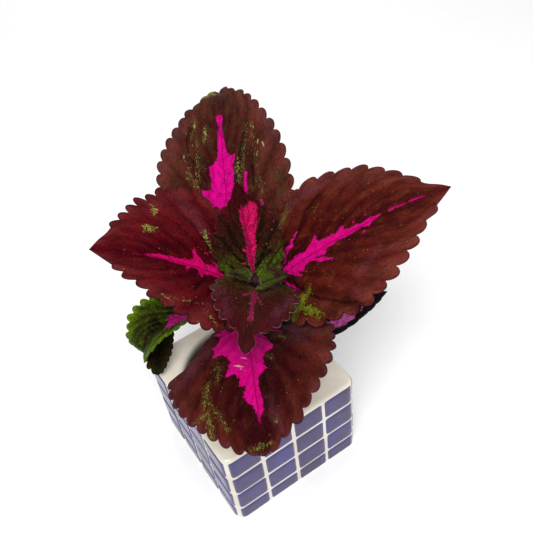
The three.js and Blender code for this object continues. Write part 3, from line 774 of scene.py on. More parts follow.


# Left and right outline the bright patch of each half: a place along the margin's run and how far the patch
# reaches there from the midrib. All the others go from one such spot to another, with a width in millimetres
# for the strokes and none for the creases.
# The strokes that darken and lighten the blade are painted shade and painted light, each crease also gets a
# painted shade line, and on the four big leaves the tone strokes are a painted sheen.
markings = {
    "leaf_right": leafMarks(
        left=[(0, 6), (15, 16), (25, 11), (35, 11), (40, 8), (45, 13), (47, 20), (49, 10), (55, 8),
              (61, 7), (64, 12), (65.5, 5), (75, 3), (80, 5), (84, 4.5), (86, 0)],
        right=[(0, 6), (20, 10), (27, 16), (33, 15), (36, 22), (38, 11), (43, 9), (50, 13), (53, 6),
               (60, 4), (66, 5), (75, 3), (77.5, 8), (79, 4), (84, 0)],
        streaks=[(16, 20, 37, 42, 1.6), (30, 33, 34, 30, 2.4), (24, -8, 34, -25, 3.0),
                 (6, -50, 31.5, -44, 1.6), (42, -10, 52, -25, 2.2), (72, -14, 74, -12, 1.1),
                 (70, 10, 71, 11, 0.9), (76, 11, 77, 12, 0.9), (88, 4, 93, 4, 0.9), (94, 5, 97, 6, 1.0)],
        flecks=[(24, -90, 36, -50, 8.0), (29, -70, 34, -90, 7.0), (20, 45, 32, 95, 3.5),
                (28, 65, 34, 90, 2.5), (46, 50, 48, 55, 1.0)],
        blooms=[(20, 75, 34, 85, 9.0), (34, 85, 50, 85, 7.0), (55, -60, 70, -50, 5.0)],
        shades=[(24, -95, 38, -62, 13.0), (36, -95, 46, -80, 13.0)],
        creases=[(25, -12, 30.5, -40), (30.5, -40, 37, -68), (37, -68, 48, -95), (30, 15, 34, 30),
                 (34, 30, 41, 58), (41, 58, 47, 73)],
    ),
    "leaf_left": leafMarks(
        left=[(0, 5), (25, 8), (35, 11), (40, 9), (46, 9), (49, 20), (51, 6), (56, 5), (58.5, 14), (60, 5),
              (66, 6), (70, 4), (80, 2), (86, 0)],
        right=[(0, 4), (30, 5), (35, 10), (45, 7), (49, 13), (51.5, 22), (53, 10), (56, 5), (60, 6),
               (65, 3), (70, 4), (78, 4), (84, 2), (86, 0)],
        streaks=[(34, 14, 45, 50, 0.8), (28, -6, 43, -24, 0.9), (76, 1, 86, 1, 1.3), (87, 2, 91, 3, 0.8),
                 (93.5, -5, 94, -2, 0.9)],
        flecks=[(72, -43, 77, -45, 5.0), (65, -76, 67, -66, 4.2), (40, -30, 42, -50, 3.4),
                (38, 30, 40, 34, 1.2), (66, 85, 50, 66, 1.2), (47, 75, 42, 92, 1.2)],
        blooms=[(42, -50, 50, -85, 10.0), (36, 25, 42, 50, 7.0)],
        shades=[(30, 40, 34, 75, 8.0), (30, -75, 44, -40, 8.0), (60, -20, 80, -15, 3.0),
                (42, 28, 66, 34, 1.5), (50, 75, 58, 85, 0.5)],
        glows=[(44, 52, 62, 66, 1.5), (72, 50, 78, 80, 1.0), (45, 95, 60, 98, 1.0)],
        creases=[(44, 10, 53, 45), (38.5, -15, 43, -39), (43, -39, 46.5, -57)],
    ),
    "leaf_back": leafMarks(
        left=[(0, 5), (20, 14), (33, 20), (38, 28), (44, 35), (46, 34), (47.5, 20), (52, 20), (60, 21),
              (63, 14), (66, 9), (72, 6.5), (80, 6), (84, 3), (86.5, 8), (88.5, 7), (90, 0)],
        right=[(0, 5), (30, 8), (42, 10), (50, 14), (60, 16), (65, 22), (66.5, 13), (70, 8), (80, 5),
               (84, 3), (86.5, 8), (88.5, 7), (90, 0)],
        streaks=[(40, -33, 53, -34, 2.6), (32, -53, 37, -56, 2.2)],
        flecks=[(40, -55, 70, -62, 2.0), (50, -22, 62, -25, 1.8), (55, -30, 72, -55, 1.8),
                (50, 52, 78, 62, 2.0), (72, 30, 80, 32, 2.0), (40, 40, 50, 45, 1.4), (50, 40, 70, 42, 1.4),
                (90, 95, 95, 90, 6.0), (95, 90, 98.5, 50, 8.0)],
        glints=[(61.7, -64.5, 60, -62, 1.3), (59, -71, 57.1, -70.5, 1.4), (67.7, -66, 67.4, -65.5, 1.2),
                (57.5, -58, 55.7, -56, 1.0), (77.8, 57.5, 76.2, 52.5, 1.2), (77.8, 32, 76.2, 27.5, 1.1),
                (61.1, 64, 57.7, 59, 1.0), (63.9, -59.5, 63.6, -59.2, 0.9)],
        blooms=[(50, 90, 75, 85, 6.0), (55, -90, 70, -90, 5.0)],
        shades=[(50, -40, 68, -40, 5.0), (55, 25, 68, 25, 4.0)],
        glows=[(30, -95, 45, -95, 8.0)],
        creases=[(77, 66, 69, 65), (69, 65, 61, 52), (61, 52, 51, 26), (71, -44, 64, -29),
                 (64, -29, 49, -20), (54, -46, 45, -44)],
    ),
    "leaf_front": leafMarks(
        left=[(0, 5), (10, 20), (20, 22), (29, 26), (34, 36), (36, 22), (44, 26), (50, 30), (52, 29),
              (53, 20), (57, 15), (62, 15), (65, 18), (67, 11), (72, 5), (80, 7), (84, 10), (88, 10),
              (91, 2), (93, 0)],
        right=[(0, 5), (12, 40), (22, 55), (26, 60), (28, 48), (32, 44), (35.5, 53), (39, 46), (43.5, 50),
               (44.5, 35), (47, 29), (52, 25), (57, 29), (61, 33), (62, 21), (66, 17), (71.5, 18),
               (73, 10), (78, 16), (82, 13), (85, 6), (91, 1.5), (93, 0)],
        streaks=[(30, 28, 39, 46, 1.8)],
        flecks=[(49, -38, 53, -45, 1.8), (53, -38, 62, -42, 1.6), (58, -52, 68, -68, 3.0),
                (70, -92, 71, -70, 3.4), (72, -68, 79, -95, 3.2), (78, -55, 82, -60, 1.4),
                (55, 20, 58, 25, 2.4), (42, 36, 45, 44, 2.6), (28, 75, 34, 95, 3.5), (90, 35, 91, 40, 1.0),
                (97, -50, 97, 50, 3.0), (60, -60, 85, -60, 2.0)],
        glints=[(52.3, -12, 54.9, -5, 1.2), (56.3, -20, 59.4, -11, 1.5), (60.5, -14.5, 60.7, -14, 1.0),
                (58, -7, 58.2, -6.6, 0.8), (63.1, -10, 63.3, -9, 0.9)],
        blooms=[(28, -60, 50, -85, 12.0), (30, 70, 50, 60, 9.0), (82, 20, 92, 80, 5.0)],
        shades=[(20, -60, 32, -80, 8.0), (25, 45, 34, 50, 6.0)],
        glows=[(42, 75, 62, 85, 13.0)],
        creases=[(66, 11, 82, 21), (34, -50, 49, -55)],
    ),
    "leaf_young_back": leafMarks(
        left=[(0, 2), (10, 5), (20, 6), (30, 7), (45, 10), (48.5, 20), (49.5, 7), (60, 6), (70, 8),
              (80, 12), (88, 12), (90, 5), (92, 0)],
        right=[(0, 2), (20, 5), (30, 7), (38, 14), (50, 22), (58, 26), (64, 34), (68, 52), (69, 36),
               (75, 70), (80, 76), (86, 62), (88, 30), (90, 5), (93, 0)],
        streaks=[(31, 10, 35, 30, 0.6)],
        creases=[(27, 13, 41, 43), (41, 43, 52, 73), (41, 13, 55, 44), (55, 44, 67, 56),
                 (30, -20, 38, -60)],
    ),
    "leaf_young_front": leafMarks(
        left=[(0, 4), (30, 4), (54, 5), (60, 4), (70, 4), (80, 7), (85, 8), (87, 0)],
        right=[(0, 4), (30, 6), (58, 7), (60, 12), (62, 6), (70, 5), (80, 6), (85, 8), (87, 0)],
        streaks=[(36, -8, 48, -25, 1.0), (46, 6, 58, 22, 0.8)],
        blooms=[(40, 90, 70, 70, 4.0), (40, -90, 70, -70, 2.0)],
    ),
    "leaf_tip_right": leafMarks(
        left=[(0, 0), (100, 0)],
        right=[(0, 0), (100, 0)],
        blooms=[(50, 80, 100, 10, 3.5), (72, 30, 100, 0, 4.0), (10, 90, 50, 90, 0.8)],
        creases=[(5, 5, 85, 5)],
    ),
    "leaf_tip_left": leafMarks(
        left=[(0, 0), (100, 0)],
        right=[(0, 0), (100, 0)],
        blooms=[(45, 0, 100, 0, 3.5)],
        creases=[(5, 5, 85, 5)],
    ),
    "leaf_low_left": leafMarks(
        left=[(0, 10), (22, 70), (30, 75), (36, 68), (42, 70), (48, 50), (50, 10), (54, 0)],
        right=[(0, 5), (30, 12), (46, 16), (54, 0)],
        blooms=[(30, 95, 60, 95, 3.0), (60, 95, 95, 90, 2.6)],
    ),
    "leaf_low_right": leafMarks(
        left=[(0, 0), (100, 0)],
        right=[(0, 10), (20, 30), (42, 60), (50, 80), (54, 72), (60, 78), (68, 50), (80, 0)],
        streaks=[(72, -60, 86, -10, 1.0)],
    ),
}

commonLook = {
    "baseReach": 0.1, "marginReach": 0.6, "veinWidth": 0.75, "veinShare": 0.55, "mossShare": 0.45,
    "acrossLift": 1.0, "placeDrop": 0.12, "tipLift": 0.35, "bloomSoft": 9.0, "bloomShare": 0.75,
    "fray": 4.6, "ragged": 3.4, "core": 0.0, "lace": 0.1, "net": 0.4, "fleckGrain": 0.8,
    # crease is painted shade, laid as a dark line along each fold
    "fleck": (100, 122, 36), "glint": (236, 204, 158), "crease": (14, 5, 6), "under": (90, 60, 64),
    "underVein": (130, 104, 100),
}


def leafLook(**changes):
    look = {**commonLook, **changes}
    return {key: tint(*value) if isinstance(value, tuple) else value for key, value in look.items()}


# Colours of each kind of leaf: inner near the midrib, middle half way and outer near the margin. Base is the
# tone near the stalk up to baseReach, rim that of the last marginReach millimetres, lace how much the veins
# net the patch and net how much they net the rest, fray and ragged how rough the patch's edge is, and core
# how dark its middle.
# The tone laid along each leaf's tone strokes is a purple-grey painted sheen on ridges and margins for the
# four big leaves, and a tint of their own for the smaller leaves.
looks = {
    "brown": leafLook(
        inner=(54, 6, 7), middle=(76, 21, 13), outer=(100, 44, 38), base=(48, 26, 16), baseReach=0.2,
        rim=(62, 24, 28), vein=(44, 8, 14), moss=(98, 50, 20), patch=(206, 8, 124), patchDeep=(176, 2, 98),
        patchVein=(104, 0, 56), net=0.22, fleck=(98, 112, 24), spark=(186, 136, 60), bloom=(84, 40, 44),
    ),
    # the front leaf's rim tone is partly a painted sheen on its curled margin
    "front": leafLook(
        inner=(44, 5, 8), middle=(66, 20, 14), outer=(96, 43, 35), tipLift=0.05, base=(48, 26, 16),
        baseReach=0.2, rim=(74, 34, 40), marginReach=2.5, vein=(44, 8, 14), moss=(72, 34, 16),
        patch=(206, 8, 124), patchDeep=(182, 4, 104), patchVein=(104, 0, 56), net=0.22,
        fleck=(112, 124, 52), spark=(176, 146, 60), bloom=(76, 36, 44),
    ),
    "burgundy": leafLook(
        inner=(60, 1, 8), middle=(82, 11, 17), outer=(93, 31, 33), base=(46, 26, 18), baseReach=0.24,
        rim=(56, 24, 30), vein=(48, 4, 14), veinShare=0.5, moss=(78, 28, 22), mossShare=0.3,
        patch=(196, 8, 98), patchDeep=(166, 2, 76), patchVein=(104, 0, 50), net=0.2, fleck=(130, 140, 66),
        fleckGrain=0.5, spark=(214, 158, 52), bloom=(88, 34, 42),
    ),
    "olive": leafLook(
        inner=(58, 14, 14), middle=(71, 30, 21), outer=(94, 43, 38), base=(60, 10, 10), baseReach=0.3,
        rim=(66, 36, 30), vein=(34, 12, 14), veinWidth=0.8, moss=(58, 52, 22), mossShare=0.7,
        patch=(208, 10, 132), patchDeep=(170, 0, 100), patchVein=(116, 0, 74), net=0.25,
        fleck=(136, 144, 78), glint=(152, 152, 104), spark=(150, 160, 90), bloom=(84, 46, 46),
        under=(86, 92, 48),
    ),
    "youngBack": leafLook(
        inner=(70, 48, 17), middle=(58, 23, 14), outer=(86, 9, 20), acrossLift=0.3, placeDrop=0.3,
        tipLift=1.3, base=(66, 76, 16), baseReach=0.38, rim=(88, 60, 60), marginReach=0.3, vein=(10, 6, 6),
        veinWidth=1.0, veinShare=0.95, moss=(44, 26, 12), mossShare=0.5, patch=(214, 26, 92),
        patchDeep=(160, 8, 60), patchVein=(116, 6, 60), lace=0.65, net=0.75, core=0.55, fray=2.0,
        ragged=4.4, spark=(150, 110, 90), bloom=(48, 20, 24), under=(90, 70, 56),
    ),
    "youngFront": leafLook(
        inner=(66, 36, 22), middle=(60, 18, 15), outer=(74, 10, 24), tipLift=0.75, base=(68, 52, 22),
        baseReach=0.44, rim=(132, 104, 108), marginReach=0.3, vein=(38, 18, 14), veinWidth=0.4,
        veinShare=0.4, moss=(56, 30, 20), mossShare=0.5, patch=(176, 34, 84), patchDeep=(118, 40, 76),
        patchVein=(96, 20, 54), lace=0.3, net=0.55, core=0.3, spark=(150, 120, 90), bloom=(86, 44, 62),
        under=(90, 70, 56),
    ),
    "bud": leafLook(
        inner=(66, 92, 14), middle=(58, 76, 14), outer=(48, 34, 24), base=(74, 100, 16), baseReach=0.45,
        rim=(58, 30, 36), marginReach=0.25, vein=(40, 20, 18), veinWidth=0.3, veinShare=0.7,
        moss=(56, 26, 46), mossShare=0.4, patch=(120, 30, 70), patchDeep=(96, 20, 56),
        patchVein=(70, 10, 36), spark=(130, 130, 80), bloom=(44, 10, 28), bloomSoft=3.0, bloomShare=0.92,
        under=(90, 80, 46),
    ),
    "lowGreen": leafLook(
        inner=(28, 15, 9), middle=(54, 59, 15), outer=(92, 118, 14), base=(16, 12, 10), rim=(100, 130, 16),
        marginReach=5.0, vein=(12, 12, 8), veinWidth=0.6, veinShare=0.5, moss=(88, 112, 12), mossShare=0.6,
        patch=(190, 40, 126), patchDeep=(146, 20, 92), patchVein=(74, 0, 46), net=0.6, spark=(110, 140, 50),
        bloom=(112, 138, 104), bloomSoft=3.0, under=(78, 104, 78),
    ),
    "lowDark": leafLook(
        inner=(16, 6, 10), middle=(18, 8, 10), outer=(26, 10, 14), base=(16, 10, 10), rim=(40, 28, 20),
        marginReach=1.0, vein=(6, 3, 4), veinWidth=0.5, veinShare=0.7, moss=(22, 18, 12), mossShare=0.4,
        patch=(246, 120, 204), patchDeep=(184, 74, 150), patchVein=(84, 20, 66), spark=(90, 70, 70),
        bloom=(40, 28, 34), under=(60, 50, 50),
    ),
    "lowOlive": leafLook(
        inner=(22, 14, 8), middle=(38, 32, 11), outer=(52, 48, 15), base=(16, 10, 10), rim=(40, 28, 20),
        marginReach=1.0, vein=(10, 8, 6), veinWidth=0.5, veinShare=0.7, moss=(48, 50, 14), mossShare=0.7,
        patch=(150, 60, 130), patchDeep=(120, 40, 100), patchVein=(70, 10, 50), net=0.6, spark=(90, 90, 50),
        bloom=(40, 34, 20), under=(50, 46, 34),
    ),
}


unmarked = -20.0  # millimetres outside every mark


def outlineShare(plan, s, t=0.0):  # half width at share s of the length, as a share of the widest
    widest = plan["basePower"] / (plan["basePower"] + plan["tipPower"])
    s = np.clip(s, 0, 1)
    width = (s / widest) ** plan["basePower"] * ((1 - s) / (1 - widest)) ** plan["tipPower"]
    for left, right, place, spread in plan["waists"]:
        width = width * (1 - np.where(np.asarray(t) > 0, left, right) * np.exp(-((s - place) / spread) ** 2))
    return width


def midribOf(plan):  # gives place, direction, side and up along the midrib
    steps = 80

    def angles(s):
        s = np.maximum(s, 0)
        heading = np.radians(plan["heading"] + plan["bend"] * s)
        rise = np.radians(plan["rise"] + plan["droop"] * s ** plan["droopPower"])
        return heading, rise, np.radians(plan["roll"] + plan["twist"] * s)

    def direction(s):
        heading, rise, _ = angles(s)
        level = np.cos(rise)
        return np.stack([level * np.cos(heading), level * np.sin(heading), np.sin(rise)], axis=-1)

    heads = direction(np.linspace(0, 1, steps + 1))
    run = np.cumsum((heads[1:] + heads[:-1]) / 2, axis=0) * plan["length"] / steps
    stations = np.vstack([[0, 0, 0], run]) + np.array(plan["base"], float)

    def frameAt(s):
        s = np.asarray(s, float)
        at = s * steps
        i = np.clip(np.floor(at).astype(int), 0, steps - 1)
        point = stations[i] + (stations[i + 1] - stations[i]) * (at - i)[..., None]
        heading, _, roll = angles(s)
        along = direction(s)
        level = np.stack([-np.sin(heading), np.cos(heading), 0 * heading], axis=-1)
        above = np.cross(along, level)
        c, d = np.cos(roll)[..., None], np.sin(roll)[..., None]
        return point, along, c * level + d * above, c * above - d * level

    return frameAt


def bladePoints(plan, frameAt, s, t, w=None):  # middle surface; t is -1 at the right margin, +1 at the left
    slices = 12
    reach = plan["half"] * outlineShare(plan, s, t)
    share = np.abs(t)
    shoulder = smoothStep(share * reach / plan["half"], 0, 0.45)
    point, _, side, up = frameAt(s - plan["lobe"] * shoulder * (1 - s) ** 8)
    across = share[..., None] * (np.arange(slices) + 0.5) / slices
    angle = plan["fold"] - plan["curl"] * across
    if w is not None and plan["turned"]:
        turnSide, fadeOut, turnStart, turnAngle = plan["turned"]
        here = (1 - smoothStep(w, fadeOut - 0.1, fadeOut)) * (t * turnSide > 0)
        angle = angle - turnAngle * here[..., None] * smoothStep(across, turnStart, 1.1)
    angle = np.radians(angle)
    lateral = np.cos(angle).mean(-1) * share * reach * np.sign(t)
    lift = np.sin(angle).mean(-1) * share * reach
    return point + side * lateral[..., None] + up * lift[..., None]


def marginShare(plan):  # share of the length at an even share of the margin's own run
    s = np.linspace(0, 1, 601) ** 2
    width = plan["half"] * outlineShare(plan, s)
    width[0] = width[-1] = 0
    run = np.concatenate([[0], np.cumsum(np.hypot(np.diff(s * plan["length"]), np.diff(width)))])
    return lambda w: np.interp(w * run[-1], run, s), run[-1]


def shareOnVein(s, t):  # where the curve that ends on the margin at share s crosses column t
    k = blade["veinSweep"]
    u = ((1 + k) - np.sqrt((1 + k) ** 2 - 4 * k * s)) / (2 * k)
    return u + k * u * (1 - u) * np.abs(t)


def slopeOf(field, points):  # how fast a field changes over the surface, per millimetre
    rowWay, columnWay = np.gradient(points, axis=0), np.gradient(points, axis=1)
    rowChange, columnChange = np.gradient(field, axis=0), np.gradient(field, axis=1)
    a, b, c = (rowWay ** 2).sum(-1), (rowWay * columnWay).sum(-1), (columnWay ** 2).sum(-1)
    area = np.maximum(a * c - b * b, 1e-9)
    steep = (c * rowChange ** 2 - 2 * b * rowChange * columnChange + a * columnChange ** 2) / area
    return np.sqrt(np.maximum(steep, 1e-9))


def strokeField(strokes, points, wAxis, tAxis):  # millimetres inside the nearest tapered stroke
    field = np.full(points.shape[:2], unmarked)
    for startW, startT, endW, endT, width in strokes:
        ends = []
        for strokeW, strokeT in ((startW, startT), (endW, endT)):
            row = np.interp(strokeW, wAxis, np.arange(len(wAxis)))
            column = np.interp(strokeT, tAxis, np.arange(len(tAxis)))
            ends.append(points[int(round(row)), int(round(column))])
        start, way = ends[0], ends[1] - ends[0]
        share = np.clip(((points - start) @ way) / max(way @ way, 1e-9), 0, 1)
        gap = np.linalg.norm(points - start - share[..., None] * way, axis=-1)
        field = np.maximum(field, width * (0.5 - 0.2 * np.abs(2 * share - 1)) - gap)
    return field


def toothMargin(plan, side, w, draw):  # how far the margin stands out and leans, in millimetres
    count, start, end, depth = plan[side]
    number = (w - start) / (end - start) * count
    whole = np.clip(np.floor(number), 0, count - 1).astype(int)
    size = draw.uniform(*blade["toothSizes"], count)[whole]
    size = size * np.interp((whole + 0.5) / count, [0, 0.15, 0.9, 1], [0.8, 1, 1, 0.9])
    phase = np.clip(number - whole, 0, 1)
    rise = np.sin(np.pi * phase ** 1.2) ** 0.5 * size  # rounded, leaning to the tip
    inside = (number >= 0) & (number <= count)
    return depth * np.where(inside, rise - 0.6, 0), depth * np.where(inside, rise, 0)


def bladeSurface(plan, marks):
    frameAt = midribOf(plan)
    shareAt, run = marginShare(plan)
    wAxis = np.linspace(0.004, 0.996, int(run / blade["rowStep"]))
    half = np.linspace(0, 1, plan["columns"] + 1) ** 1.15
    tAxis = np.concatenate([-half[:0:-1], half])
    w, t = np.meshgrid(wAxis, tAxis, indexing="ij")
    share, leftSide = np.abs(t), t > 0
    points = bladePoints(plan, frameAt, shareOnVein(shareAt(w), t), t, w)
    rowWay, columnWay = np.gradient(points, axis=0), np.gradient(points, axis=1)
    normal = unit(np.cross(columnWay, rowWay))
    normal = normal * np.sign(normal[..., [2]].mean())

    def strokes(rows):
        return strokeField(rows, points, wAxis, tAxis)

    # teeth along each margin, each a little different and leaning to the tip
    draw = np.random.default_rng(plan["seed"])
    pushLeft, leanLeft = toothMargin(plan, "left", w, draw)
    pushRight, leanRight = toothMargin(plan, "right", w, draw)
    push, lean = np.where(leftSide, pushLeft, pushRight), np.where(leftSide, leanLeft, leanRight)
    away = unit(columnWay) * np.where(leftSide, 1, -1)[..., None]
    ahead = unit(rowWay)
    outward = unit(away - ahead * (away * ahead).sum(-1, keepdims=True))
    near = smoothStep(share, blade["toothStart"], 1.0)
    toothed = points + outward * (push * near)[..., None]
    toothed = toothed + ahead * (blade["toothLean"] * lean * near ** 2)[..., None]

    # sunken side veins with puffed blade between them, and a grooved midrib
    vein = (w + plan["veinLead"] * (1 - share) ** 1.9) / plan["veinSpacing"]
    vein = vein - np.where(leftSide, *plan["firstVein"])
    number = np.round(vein)
    toVein = np.abs(vein - number) * 2
    strengths = draw.uniform(*blade["veinStrengths"], (2, 40))  # of each side's veins
    strength = strengths[leftSide.astype(int), number.astype(int) % 40]
    deepSide, deepNumber, deepFactor = plan["deepVein"]
    strength = np.where((np.sign(t) == deepSide) & (number == deepNumber), deepFactor, strength)
    puff = blade["puff"] - blade["veinDepth"] * np.exp(-(toVein / blade["veinWidth"]) ** 2) * strength
    calm = smoothStep(w, 0.02, 0.12) * (1 - smoothStep(w, 0.8, 0.95)) * (1.2 - 0.8 * w)
    bulge = np.sin(np.pi * np.clip(share, 0.03, 1) ** 0.85)
    lateral = np.linalg.norm(points - points[:, [len(half) - 1]], axis=-1)
    ripple = plan["quilt"] * puff * bulge * calm
    ripple = ripple - blade["midribGroove"] * np.exp(-(lateral / blade["grooveWidth"]) ** 2) * calm
    size = plan["half"] / 50
    for length, height in blade["swell"]:
        for _ in range(3):
            way, phase = draw.normal(size=3), draw.uniform(0, 2 * np.pi)
            wave = np.sin(points @ way / np.linalg.norm(way) * 2 * np.pi / (length * size) + phase)
            wave = height * size * wave * smoothStep(share, 0.05, 0.5) * calm
            ripple = ripple + wave * blade["swellShare"]
    crease = -strokes([(*ends, 0.0) for ends in marks["creases"]])
    ripple = ripple - blade["creaseDepth"] * np.exp(-(crease / blade["creaseWidth"]) ** 2)
    curled = smoothStep(w, 0.83, 0.97) * smoothStep(share, 0.35, 0.95) * (0.5 + 0.5 * lean / plan["left"][3])
    middle = toothed + normal * (ripple + plan["tipCurl"] * curled)[..., None]

    patch = strokes(marks["streaks"])
    if marks["left"]:
        left, right = (np.array(marks[side]).T for side in ("left", "right"))
        reach = np.where(leftSide, np.interp(w, *left), np.interp(w, *right))
        inside = np.where(reach < 0.002, -0.06, reach) - share
        within = np.clip(inside / slopeOf(inside, points), unmarked, -unmarked)
        within = np.where(np.abs(within) > np.abs(inside) * plan["half"], inside * plan["half"], within)
        patch = np.maximum(patch, within)
    # painted shade and painted light: strokes that darken or lighten the blade's own colour
    lightness = 1.0
    for key, gain in (("shades", blade["shade"]), ("glows", blade["glow"])):
        lightness = lightness + gain * smoothStep(strokes(marks[key]), -6, 6)
    margins = [np.linalg.norm(toothed[:, [side]] - toothed, axis=-1) for side in (0, -1)]
    fields = {
        "veinGap": toVein / 2 / slopeOf(vein, points) / np.maximum(strength, 0.3), "veinNumber": vein,
        "midribGap": lateral, "marginGap": np.minimum(*margins), "creaseGap": crease,
        "patchDepth": patch, "fleckDepth": strokes(marks["flecks"]), "bloomDepth": strokes(marks["blooms"]),
        "glintDepth": strokes(marks["glints"]), "lightness": lightness, "fromBase": w, "acrossShare": share,
    }
    along = np.cumsum(np.linalg.norm(np.gradient(points[:, len(half) - 1], axis=0), axis=-1))
    flat = np.stack([along[:, None] + 0 * t, lateral * np.sign(t) * plan["grain"]], axis=-1)
    return frameAt, middle, normal, fields, flat


def stalkPath(plan, frameAt):
    start = stemPoint(plan["node"] * mm) / mm
    point, along, _, up = frameAt(np.array(0.0))
    gap = point - start
    size = np.linalg.norm(gap)
    heading = unit(np.array([gap[0], gap[1], 0.0]))
    end = point - up * (blade["solidThickness"] / 2 + plan["petiole"] * 0.28)
    leaving = start + (heading * 0.8 + np.array([0, 0, 0.6])) * size * 0.4
    arriving = end - along * size * 0.3
    share = np.linspace(0, 1, 40)[:, None]
    path = ((1 - share) ** 3 * start + 3 * share * (1 - share) ** 2 * leaving
            + 3 * share ** 2 * (1 - share) * arriving + share ** 3 * end)
    radii = plan["petiole"] * (1 - 0.2 * share[:, 0])
    ahead = np.linspace(0.02, plan["ridgeEnd"], 45)
    point, _, _, up = frameAt(ahead)
    ridge = plan["petiole"] * 0.8 * (1 - ahead)
    below = point - up * (blade["thickness"] / 2 + ridge * 0.75 + blade["midribGroove"])[:, None]
    return np.vstack([path, below]), np.concatenate([radii, np.maximum(ridge, 0.12)])


